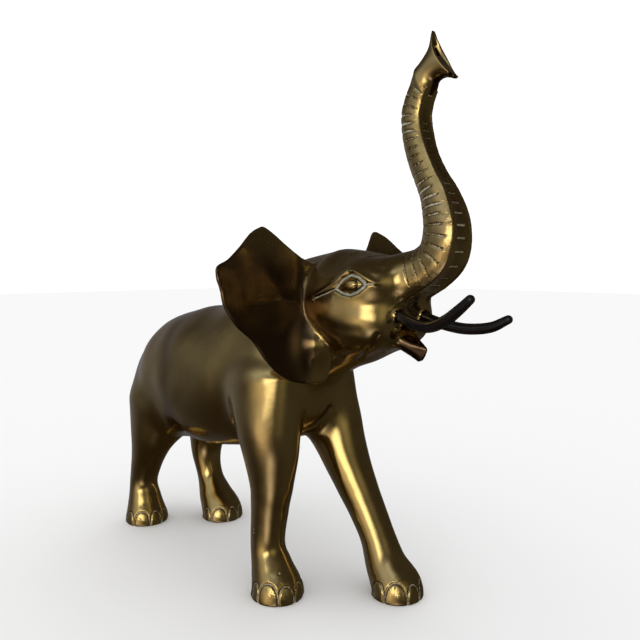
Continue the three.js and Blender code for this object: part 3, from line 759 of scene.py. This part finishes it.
def relief(points):
    depth = np.zeros(len(points))
    stain = np.zeros(len(points))

    def add(mask, carve, *details):
        if mask.any():
            deeper, paler = carve(points[mask], *details)
            depth[mask] += deeper
            stain[mask] = np.maximum(stain[mask], paler)

    def dent(here, pit):
        hollow = bell_curve(np.linalg.norm(here - pit, axis=1), PIT_WIDTH)
        return PIT_DEPTH * hollow, hollow

    for low, high, carve in CARVINGS:
        add(in_zone(points, low, high), carve)
    for foot_x, foot_y, nails in NAILS:
        near = np.hypot(points[:, 0] - foot_x, points[:, 1] - foot_y) < 27
        add((points[:, 2] < 21) & near, toenails, foot_x, foot_y, nails)
    for pit in PITS:
        add(np.abs(points - pit).max(1) < 4, dent, pit)
    return depth, stain


# Waves in the casting's surface: [direction, phase, height]
WAVES = [
    ([0.11, 0.05, 0.07], 0.4, 0.22),
    ([-0.06, 0.12, 0.04], 1.9, 0.2),
    ([0.05, -0.07, 0.13], 3.3, 0.2),
    ([0.19, 0.13, -0.11], 0.9, 0.09),
    ([-0.14, 0.2, 0.16], 2.4, 0.08),
]


def waviness(points):
    """The slow unevenness of a casting that was ground and polished by hand."""
    total = np.zeros(len(points))
    for direction, phase, height in WAVES:
        total += height * np.sin(points @ np.array(direction) + phase)
    return total * (0.4 + 0.6 * smooth_step(points[:, 2], 70, 150))


# Parts added to the torso in turn, and how far each blends
BODY_PARTS = [
    (neck, 34), (hips, 30), (hind_right_leg, 18), (hind_left_leg, 18),
    (front_right_leg, 22), (front_left_leg, 22),
]
HEAD_BLEND = 16
EAR_BLEND = 4
SOLE_EDGE = 2.4


def body_field(points, spare=0.0, detailed=True, funnel=False):
    """Below 0 inside the brass, above 0 outside it."""
    d = blended(torso, BODY_PARTS, points)
    d = smooth_min(d, head_field(points, spare, funnel), HEAD_BLEND)
    d = smooth_min(d, ears_field(points, spare), EAR_BLEND)
    for stations in TUSKS.values():
        near = np.abs(points - [stations[1][0], -192, 229]).max(1) < 24
        if near.any():
            d[near] = smooth_max(d[near], -socket_field(points[near], stations), 0.5)
    if detailed:
        d = d + waviness(points) + relief(points)[0]
    return smooth_max(d, -points[:, 2], SOLE_EDGE)


TETRAHEDRON = np.array([[1, 1, 1], [1, -1, -1], [-1, 1, -1], [-1, -1, 1]])


def value_and_slope(points, e, funnel=False):
    """The field and its gradient, from four readings around each point."""
    value = np.zeros(len(points))
    slope = np.zeros_like(points)
    for corner in TETRAHEDRON:
        reading = body_field(points + e * corner, funnel=funnel)
        value += reading / 4
        slope += reading[:, None] * corner / (4 * e)
    return value, slope


def down_the_funnel(points):
    """The points on the face of the trunk's opening moved down into it."""
    ahead, up = lip_frame(points)
    on_face = np.abs(lip_cut(points[:, 0], ahead, up, False)) < 0.4
    on_face &= points[:, 2] > TIP_BEGINS
    depth = funnel_depth(points[on_face, 0], up[on_face])
    moved = points.copy()
    moved[on_face, 1:3] -= depth[:, None] * LIP_DIRECTION
    return moved


def settled(points, passes=3):
    """The points moved onto the surface."""
    for _ in range(passes):
        value, slope = value_and_slope(points, 0.04)
        size = np.maximum((slope ** 2).sum(1), 0.2)
        points = points - slope * np.clip(value / size, -3, 3)[:, None]
    return points


# Meshing

CORNERS = [(i & 1, (i >> 1) & 1, (i >> 2) & 1) for i in range(8)]
CELL_EDGES = [(a, a | bit) for bit in (1, 2, 4) for a in range(8) if not a & bit]


def surface_net(field, low, high, step, block=4):
    """One vertex in each grid cell the surface crosses, one quad across each crossed grid edge.
    The field is read on a coarse grid, then on the fine one in blocks near the surface, which
    doesn't reach the grid's sides."""
    low = np.array(low, float)
    size = np.ceil((np.array(high) - low) / step).astype(int)
    size = ((size + block - 1) // block) * block + 1
    axes = [low[i] + step * np.arange(size[i]) for i in range(3)]
    coarse_points = grid(*[a[::block] for a in axes])
    coarse = field(coarse_points.reshape(-1, 3)).reshape(coarse_points.shape[:3])
    band = np.abs(coarse) < step * block * 1.6
    active = np.zeros(tuple(n - 1 for n in band.shape), bool)
    for i, j, k in CORNERS:
        active |= band[i:i + active.shape[0], j:j + active.shape[1], k:k + active.shape[2]]
    signs = np.where(coarse < 0, -1.0, 1.0)
    for axis in range(3):
        signs = np.repeat(signs, block, axis)
    values = signs[:size[0], :size[1], :size[2]] * 4 * step
    needed = np.zeros(tuple(size), bool)
    blocks = np.argwhere(active) * block
    reach = np.arange(block + 1)
    for offset in grid(reach, reach, reach).reshape(-1, 3):
        needed[tuple((blocks + offset).T)] = True
    values[needed] = field(low + step * np.argwhere(needed))
    inside = values < 0
    n = size - 1
    count = sum(inside[i:n[0] + i, j:n[1] + j, k:n[2] + k].astype(np.int8) for i, j, k in CORNERS)
    crossed = (count > 0) & (count < 8)
    cells = np.argwhere(crossed)
    ids = np.full(crossed.shape, -1)
    ids[crossed] = np.arange(len(cells))
    total = np.zeros((len(cells), 3))
    hits = np.zeros(len(cells))
    at_corner = [values[tuple((cells + c).T)] for c in CORNERS]
    for a, b in CELL_EDGES:
        va, vb = at_corner[a], at_corner[b]
        cut = (va < 0) != (vb < 0)
        t = np.where(cut, va / np.where(cut, va - vb, 1), 0)
        ca, cb = np.array(CORNERS[a]), np.array(CORNERS[b])
        total += np.where(cut[:, None], ca + t[:, None] * (cb - ca), 0)
        hits += cut
    points = low + step * (cells + total / hits[:, None])
    quads = []
    for axis in range(3):
        u, v = (axis + 1) % 3, (axis + 2) % 3
        before = np.take(inside, range(size[axis] - 1), axis)
        after = np.take(inside, range(1, size[axis]), axis)
        edges = np.argwhere(before != after)
        corners = []
        for du, dv in ((1, 1), (0, 1), (0, 0), (1, 0)):
            cell = edges.copy()
            cell[:, u] -= du
            cell[:, v] -= dv
            corners.append(ids[tuple(cell.T)])
        quad = np.stack(corners, 1)
        leaving = before[tuple(edges.T)]
        quad[~leaving] = quad[~leaving][:, ::-1]
        quads.append(quad)
    quads = np.concatenate(quads)
    first = np.linalg.norm(points[quads[:, 0]] - points[quads[:, 2]], axis=1)
    second = np.linalg.norm(points[quads[:, 1]] - points[quads[:, 3]], axis=1)
    a, b = quads[first <= second], quads[first > second]
    triangles = [a[:, [0, 1, 2]], a[:, [0, 2, 3]], b[:, [0, 1, 3]], b[:, [1, 2, 3]]]
    return points, np.concatenate(triangles)


def refined(points, triangles, wanted):
    """Splits each edge that is the worst of both its triangles, until none is too long."""
    limits = wanted(points)
    while True:
        ends = triangles[:, [[0, 1], [1, 2], [2, 0]]]
        low, high = ends.min(2), ends.max(2)
        keys = low * len(points) + high
        length = np.linalg.norm(points[low] - points[high], axis=2)
        score = 2 * length / (limits[low] + limits[high])
        score = score * (1 + 1e-7 * (keys % 9973))
        worst = score.argmax(1)
        rows = np.arange(len(triangles))
        chosen = keys[rows, worst]
        long = score[rows, worst] > 1
        edges, votes = np.unique(chosen[long], return_counts=True)
        edges = edges[votes == 2]
        if not len(edges):
            return points, triangles
        place = np.clip(np.searchsorted(edges, chosen), 0, len(edges) - 1)
        split = long & (edges[place] == chosen)
        new = len(points) + place[split]
        p = triangles[rows, worst][split]
        q = triangles[rows, (worst + 1) % 3][split]
        r = triangles[rows, (worst + 2) % 3][split]
        middles = (points[edges // len(points)] + points[edges % len(points)]) / 2
        points = np.concatenate([points, middles])
        limits = np.concatenate([limits, wanted(middles)])
        halves = [np.stack([p, new, r], 1), np.stack([new, q, r], 1)]
        triangles = np.concatenate([triangles[~split], *halves])


COARSEST = 6.0
# Zones with a finer mesh: lowest and highest [side, y, z], and the longest edge
FINE_ZONES = [
    ([-FAR, -FAR, 190], [FAR, -120, FAR], 4.2),
    ([-FAR, -FAR, 238], [FAR, -180, FAR], 1.5),
    ([-FAR, -FAR, FLARE_BEGINS], [FAR, -180, FAR], 1.3),
    ([-FAR, -FAR, 192], [27, -172, 250], 1.5),
    ([24, -186, 238], [50, -128, 268], 1.2),
    ([-FAR, -FAR, 190], [46, -140, 230], 2.6),
    ([-FAR, -FAR, 124], [22, -70, 152], 2.9),
]
LIP_RIM_EDGE = 0.75
EAR_RIM_EDGE = 1.8
NAIL_EDGE = 1.6
SOLE_RIM_EDGE = 2.1
PIT_EDGE = 0.8


def wanted_edge(points):
    """The longest edge allowed at each point, in millimetres."""
    x, y, z = points.T
    wanted = np.full(len(points), COARSEST)

    def limit(mask, length):
        wanted[mask] = np.minimum(wanted[mask], length)

    for low, high, length in FINE_ZONES:
        limit(in_zone(points, low, high), length)
    ahead, up = lip_frame(points)
    by_rim = np.abs(lip_cut(x, ahead, up, False)) < 2.5
    limit(by_rim & (z > FLARE_BEGINS) & (y < -180), LIP_RIM_EDGE)
    for foot_x, foot_y, _ in NAILS:
        gap_x, gap_y = x - foot_x, y - foot_y
        on_foot = np.hypot(gap_x, gap_y) < 25
        limit((z < 19) & on_foot & (-gap_y - gap_x > -20), NAIL_EDGE)
        limit((z < 3) & on_foot, SOLE_RIM_EDGE)
    for pit in PITS:
        limit(np.abs(points - pit).max(1) < 3.5, PIT_EDGE)
    for ear, mine in ((right_ear, x < 0), (left_ear, x >= 0)):
        by_ear = np.flatnonzero(mine & in_zone(points, [30, -150, 170], [FAR, -90, FAR]))
        u, v, _ = ear.plane(folded(points[by_ear]))
        rim = np.abs(ear.rim_distance(np.stack([u, v], 1)))
        limit(by_ear[(rim < 3.5) & (u > 2)], EAR_RIM_EDGE)
    return wanted


def place(points):
    """From millimetres in the figure's frame to metres in the row frame."""
    return (points + FIGURE_SHIFT) * 0.001


def mesh_object(name, points, triangles, normals=None):
    mesh = bpy.data.meshes.new(name)
    mesh.from_pydata(place(points).tolist(), [], triangles.tolist())
    mesh.polygons.foreach_set("use_smooth", [True] * len(mesh.polygons))
    if normals is not None:
        mesh.normals_split_custom_set_from_vertices(normals.tolist())
    mesh.update()
    piece = bpy.data.objects.new(name, mesh)
    scene.collection.objects.link(piece)
    return piece


def point_attribute(piece, name, values):
    layer = piece.data.attributes.new(name, "FLOAT", "POINT")
    layer.data.foreach_set("value", np.ascontiguousarray(values, dtype=np.float32))


def junction(points):
    """1 where an ear meets the head, on its front."""
    out = np.zeros(len(points))
    near = in_zone(points, [24, -140, 205], [FAR, -104, 272])
    here = points[near]
    gap = ears_field(here, 0.0) - blended(skull, HEAD_PARTS[:2], here)
    out[near] = bell_curve(gap, 0.9)
    return out


def painted_shade(points):
    """Painted shade in dark brown: on the ears' fronts, less so towards their tops, in the
    funnel in the trunk's tip and on the outside of the lower lip."""
    out = np.zeros(len(points))
    x, y, z = points.T
    near = in_zone(points, [34, -150, 170], [FAR, -90, FAR])
    for ear, mask in ((right_ear, near & (x < 0)), (left_ear, near & (x > 0))):
        u, v, w = ear.plane(folded(points[mask]))
        front = smooth_step(w - ear.bow(u, v), -0.5, 1.0) * smooth_step(u, 0, 8)
        out[mask] = front * (1 - 0.75 * smooth_step(v, 25, 52))
    # painted shade in the trunk's opening
    ahead, up = lip_frame(points)
    in_funnel = smooth_step(-lip_cut(x, ahead, up, False), 0.3, 2.5)
    in_funnel = in_funnel * smooth_step(funnel_depth(x, up), 0.3, 2.5) * (z > FLARE_BEGINS)
    out = np.maximum(out, 1.2 * in_funnel)
    # painted shade on the outside of the lower lip
    under_lip = 1 - smooth_step(z + 0.35 * (y + 190), 216, 222)
    under_lip = under_lip * (1 - smooth_step(y, -188, -180)) * (z > 190)
    return np.maximum(out, 1.05 * under_lip)


def neighbour_mean(triangles, values):
    """For each point, the mean over the points it shares an edge with."""
    start = triangles.ravel()
    end = np.roll(triangles, -1, axis=1).ravel()
    count = np.maximum(np.bincount(start, minlength=len(values)), 1)
    sums = [np.bincount(start, column[end], len(values)) for column in values.T]
    return np.stack(sums, 1) / count[:, None]


def plain_share(points, triangles):
    """1 on plain stretches of the casting, falling to 0 beside anything carved."""
    share = smooth_step(wanted_edge(points), 4.3, 5.8)[:, None]
    for _ in range(6):
        share = np.minimum(share, neighbour_mean(triangles, share))
    return share


def evened(points, triangles, share, rounds=8):
    """Plain stretches evened out, as a file and polish would, each pass in followed by one out
    so that the form keeps its size."""
    for step in (0.5, -0.52) * rounds:
        points = points + step * share * (neighbour_mean(triangles, points) - points)
    return points


def mesh_normals(points, triangles):
    """Each point's normal from the triangles round it, averaged with its neighbours'."""
    a, b, c = (points[triangles[:, i]] for i in range(3))
    faces = np.cross(b - a, c - a)
    corners = triangles.ravel()
    spread = np.repeat(faces, 3, axis=0)
    total = np.stack([np.bincount(corners, column, len(points)) for column in spread.T], 1)
    total = unit(total)
    for _ in range(3):
        total = 0.5 * total + 0.5 * neighbour_mean(triangles, total)
    return total


BODY_LOW = [-117, -262, -14]
BODY_HIGH = [117, 188, 430]
# the cut depth at which the painted shade in a groove is fullest
RECESS_DEPTH = 1.2
JUNCTION_STAIN = 0.45


def build_body():
    points, triangles = surface_net(
        lambda p: body_field(p, SPARE, detailed=False), BODY_LOW, BODY_HIGH, GRID_STEP)
    points = settled(points)
    for _ in range(2):
        before = len(points)
        points, triangles = refined(points, triangles, wanted_edge)
        points = np.concatenate([points[:before], settled(points[before:])])
    share = plain_share(points, triangles)
    points = evened(points, triangles, share)
    points[:, 2] = np.maximum(points[:, 2], 0)
    points = down_the_funnel(points)
    _, slope = value_and_slope(points, 0.08, funnel=True)
    normals = unit(slope)
    normals += share * (mesh_normals(points, triangles) - normals)
    piece = mesh_object("brass_casting", points, triangles, unit(normals))
    depth, stain = relief(points)
    stain = np.maximum(stain, JUNCTION_STAIN * junction(points))
    point_attribute(piece, "stain", np.clip(stain, 0, 1))
    # painted shade in the grooves, darker the deeper they are cut
    point_attribute(piece, "groove_shade", np.clip(depth / RECESS_DEPTH, 0, 1))
    # painted shade on the ears' fronts, in the trunk's opening and on the lower lip
    point_attribute(piece, "painted_shade", painted_shade(points))
    return piece


CAP_ANGLES = [18, 36, 54, 70, 82]


def build_tusk(name, stations, sides=40):
    """A tapering tube with a rounded tip."""
    rows = spline_rows(stations, 10)
    centres = rows[:, :3]
    radii = TUSK_RADIUS * rows[:, 3]
    along = unit(np.gradient(centres, axis=0))
    across = unit(np.cross(along, [0, 0, 1]))
    up = np.cross(across, along)
    turns = 2 * np.pi * np.arange(sides) / sides
    ring = np.cos(turns)[None, :, None] * across[:, None] + np.sin(turns)[None, :, None] * up[:, None]
    rings = list(centres[:, None] + ring * radii[:, None, None])
    for angle in np.radians(CAP_ANGLES):
        centre = centres[-1] + along[-1] * radii[-1] * math.sin(angle)
        rings.append(centre + ring[-1] * radii[-1] * math.cos(angle))
    tip = len(rings) * sides
    points = np.concatenate([*rings, [centres[-1] + along[-1] * radii[-1], centres[0]]])
    triangles = []
    last = len(rings) - 1
    for s in range(sides):
        n = (s + 1) % sides
        for r in range(last):
            a, b = r * sides, (r + 1) * sides
            triangles += [[a + s, a + n, b + n], [a + s, b + n, b + s]]
        triangles.append([last * sides + s, last * sides + n, tip])
        triangles.append([n, s, tip + 1])
    return mesh_object(name, points, np.array(triangles))


# Materials

class Nodes:
    """A small helper to add and join shader nodes."""

    def __init__(self, tree):
        self.tree = tree
        tree.nodes.clear()

    def add(self, kind, inputs=(), **settings):
        """A new node. Each input is joined to a socket, or set to a number or a colour."""
        node = self.tree.nodes.new(kind)
        for key, value in settings.items():
            setattr(node, key, value)
        for key, value in dict(inputs).items():
            if isinstance(value, bpy.types.NodeSocket):
                self.tree.links.new(value, node.inputs[key])
            else:
                node.inputs[key].default_value = value
        return node

    def ramp(self, source, stops):
        """Colours at places from 0 to 1, where a single number is a grey."""
        node = self.add("ShaderNodeValToRGB", {"Fac": source})
        elements = node.color_ramp.elements
        while len(elements) < len(stops):
            elements.new(0.5)
        for element, (position, colour) in zip(elements, stops):
            element.position = position
            element.color = (*np.broadcast_to(colour, 3), 1)
        return node.outputs["Color"]

    def noise(self, vector, scale, detail, roughness):
        inputs = {"Vector": vector, "Scale": scale, "Detail": detail, "Roughness": roughness}
        return self.add("ShaderNodeTexNoise", inputs).outputs["Fac"]

    def mix(self, share, a, b, blend="MIX"):
        inputs = {0: share, 6: a, 7: (*b, 1)}
        return self.add("ShaderNodeMix", inputs, data_type="RGBA", blend_type=blend).outputs[2]

    def maths(self, operation, *values):
        return self.add("ShaderNodeMath", dict(enumerate(values)), operation=operation).outputs[0]

    def attribute(self, name):
        return self.add("ShaderNodeAttribute", attribute_name=name).outputs["Fac"]

    def bump(self, height, strength, distance, **under):
        inputs = {"Height": height, "Strength": strength, "Distance": distance, **under}
        return self.add("ShaderNodeBump", inputs).outputs["Normal"]

    def split_glossy(self, matt, glossy):
        """One shader for mirror reflections and another for everything else."""
        rays = self.add("ShaderNodeLightPath").outputs["Is Glossy Ray"]
        return self.add("ShaderNodeMixShader", {0: rays, 1: matt, 2: glossy}).outputs[0]


def new_material(name):
    material = bpy.data.materials.new(name)
    material.use_nodes = True
    return material, Nodes(material.node_tree)


def brass_material():
    """Brass with painted shade in dark brown on parts of the head and darker in the recesses, and pale
    residue in the grooves.
    """
    material, nodes = new_material("aged brass")
    where = nodes.add("ShaderNodeTexCoord").outputs["Object"]
    colour = nodes.ramp(nodes.noise(where, 14, 5, 0.6), [
        (0.30, (0.55, 0.41, 0.16)), (0.5, (0.59, 0.445, 0.18)), (0.70, (0.63, 0.47, 0.21))])
    tarnish = nodes.ramp(nodes.noise(where, 160, 6, 0.65), [(0.35, 0), (0.8, 0.3)])
    colour = nodes.mix(tarnish, colour, (0.42, 0.29, 0.11))
    # painted shade: dark brown on the ears' fronts, in the trunk's opening and on the lower lip
    brown = nodes.maths("MULTIPLY", nodes.attribute("painted_shade"), 0.88)
    colour = nodes.mix(brown, colour, (0.085, 0.047, 0.032))
    # painted shade: the grooves darker the deeper they are cut
    groove_shade = nodes.maths("MULTIPLY", nodes.attribute("groove_shade"), 0.75)
    colour = nodes.mix(groove_shade, colour, (0.05, 0.03, 0.012))
    speck = nodes.ramp(nodes.noise(where, 900, 3, 0.6), [(0.42, 0), (0.58, 1)])
    speck = nodes.maths("ADD", nodes.maths("MULTIPLY", speck, 0.5), 0.45)
    stain = nodes.ramp(nodes.attribute("stain"), [(0.45, 0), (0.85, 1)])
    cover = nodes.maths("MULTIPLY", stain, speck)
    rough = nodes.ramp(nodes.noise(where, 35, 5, 0.7), [(0.3, 0.11), (0.7, 0.21)])
    normal = nodes.bump(nodes.noise(where, 60, 4, 0.5), 0.25, 0.0006)
    metal = nodes.add("ShaderNodeBsdfPrincipled", {
        "Base Color": nodes.mix(cover, colour, (0.50, 0.52, 0.44)),
        "Metallic": nodes.maths("SUBTRACT", 1.0, cover),
        "Roughness": nodes.maths("ADD", rough, nodes.maths("MULTIPLY", cover, 0.4)),
        "Normal": nodes.bump(nodes.noise(where, 700, 4, 0.6), 0.08, 0.0001, Normal=normal),
    })
    nodes.add("ShaderNodeOutputMaterial", {"Surface": metal.outputs["BSDF"]})
    return material


def horn_material():
    material, nodes = new_material("dark horn")
    where = nodes.add("ShaderNodeTexCoord").outputs["Object"]
    horn = nodes.add("ShaderNodeBsdfPrincipled", {
        "Base Color": nodes.ramp(
            nodes.noise(where, 45, 5, 0.6), [(0.35, 0.002), (0.75, (0.010, 0.006, 0.005))]),
        "Roughness": nodes.ramp(nodes.noise(where, 120, 4, 0.6), [(0.3, 0.14), (0.7, 0.26)]),
        "Normal": nodes.bump(nodes.noise(where, 260, 4, 0.6), 0.2, 0.0003),
    })
    nodes.add("ShaderNodeOutputMaterial", {"Surface": horn.outputs["BSDF"]})
    return material


brass = brass_material()
horn = horn_material()

casting = build_body()
casting.data.materials.append(brass)
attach(casting, "root")
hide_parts("elephant_body")

for tusk_name, tusk_stations in TUSKS.items():
    tusk = build_tusk(f"{tusk_name}_horn", tusk_stations)
    tusk.data.materials.append(horn)
    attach(tusk, "root")
    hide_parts(tusk_name)

# Stage: a pale floor and a room of soft light. The room is white to the camera and to matt
# surfaces, and polished ones see soft windows and dim walls, each an oval patch of light.

FLOOR_SIZE = 12  # metres
FLOOR_GREY = 0.86
CAMERA_PLACE = np.array([-367.6, -477.3, 266.6])
CAMERA_AZIMUTH = -43.8
CAMERA_DIP = 4.77
SENSOR_WIDTH = 36
LENS = 37.125
WHITE_STRENGTH = 1.1
WALLS = (0.028, 0.020, 0.012)
# Bearing from the camera's, elevation, half width, half height in degrees, colour, and how
# flat the light is inside its edge
PATCHES = [
    (-18, 9, 18, 10, (2.45, 2.35, 2.05), 4),
    (-54, 30, 36, 24, (0.48, 0.51, 0.58), 2),
    (-17, 46, 25, 11, (0.50, 0.54, 0.60), 2),
    (-13, -38, 19, 12, (0.76, 0.68, 0.74), 2),
    (-146, -5, 44, 27, (0.17, 0.18, 0.24), 2),
    (28, 12, 20, 16, (0.32, 0.30, 0.20), 2),
    (-40, -8, 24, 18, (0.80, 0.68, 0.55), 2),
    (80, -24, 72, 28, (0.030, 0.031, 0.026), 2),
]


def stage_floor():
    """A pale floor that polished surfaces don't mirror."""
    bpy.ops.mesh.primitive_plane_add(size=FLOOR_SIZE, location=(0, 0, 0))
    floor = bpy.context.active_object
    floor.name = "floor"
    material, nodes = new_material("pale floor")
    pale = nodes.add("ShaderNodeBsdfDiffuse", {"Color": (FLOOR_GREY, FLOOR_GREY, FLOOR_GREY, 1)})
    unseen = nodes.add("ShaderNodeBsdfTransparent")
    both = nodes.split_glossy(pale.outputs["BSDF"], unseen.outputs["BSDF"])
    nodes.add("ShaderNodeOutputMaterial", {"Surface": both})
    floor.data.materials.append(material)


def light_patch(nodes, azimuth, elevation, patch):
    """1 at the patch's middle, fading to nothing at its edge."""
    bearing, height, wide, tall, _, flatness = patch
    turn = nodes.maths("SUBTRACT", azimuth, math.radians(CAMERA_AZIMUTH + bearing))
    turn = nodes.maths("WRAP", turn, math.pi, -math.pi)
    rise = nodes.maths("SUBTRACT", elevation, math.radians(height))
    across = nodes.maths("ABSOLUTE", nodes.maths("DIVIDE", turn, math.radians(wide)))
    up = nodes.maths("ABSOLUTE", nodes.maths("DIVIDE", rise, math.radians(tall)))
    squares = [nodes.maths("POWER", share, flatness) for share in (across, up)]
    return nodes.maths("EXPONENT", nodes.maths("MULTIPLY", nodes.maths("ADD", *squares), -1))


def stage_world():
    world = bpy.data.worlds.new("room")
    scene.world = world
    world.use_nodes = True
    nodes = Nodes(world.node_tree)
    direction = nodes.add("ShaderNodeTexCoord").outputs["Generated"]
    x, y, z = nodes.add("ShaderNodeSeparateXYZ", {0: direction}).outputs
    azimuth = nodes.maths("ARCTAN2", x, nodes.maths("MULTIPLY", y, -1))
    elevation = nodes.maths("ARCSINE", z)
    light = (*WALLS, 1)
    for patch in PATCHES:
        share = light_patch(nodes, azimuth, elevation, patch)
        light = nodes.mix(share, light, patch[4], blend="ADD")
    room = nodes.add("ShaderNodeBackground", {"Color": light}).outputs[0]
    white = {"Color": (1, 1, 1, 1), "Strength": WHITE_STRENGTH}
    white = nodes.add("ShaderNodeBackground", white).outputs[0]
    nodes.add("ShaderNodeOutputWorld", {"Surface": nodes.split_glossy(white, room)})


def stage_camera():
    data = bpy.data.cameras.new("camera")
    data.sensor_width = SENSOR_WIDTH
    data.lens = LENS
    camera = bpy.data.objects.new("camera", data)
    camera.location = place(CAMERA_PLACE).tolist()
    camera.rotation_euler = (math.radians(90 - CAMERA_DIP), 0, math.radians(CAMERA_AZIMUTH))
    scene.collection.objects.link(camera)
    scene.camera = camera


stage_floor()
stage_world()
stage_camera()
scene.view_settings.view_transform = "Standard"
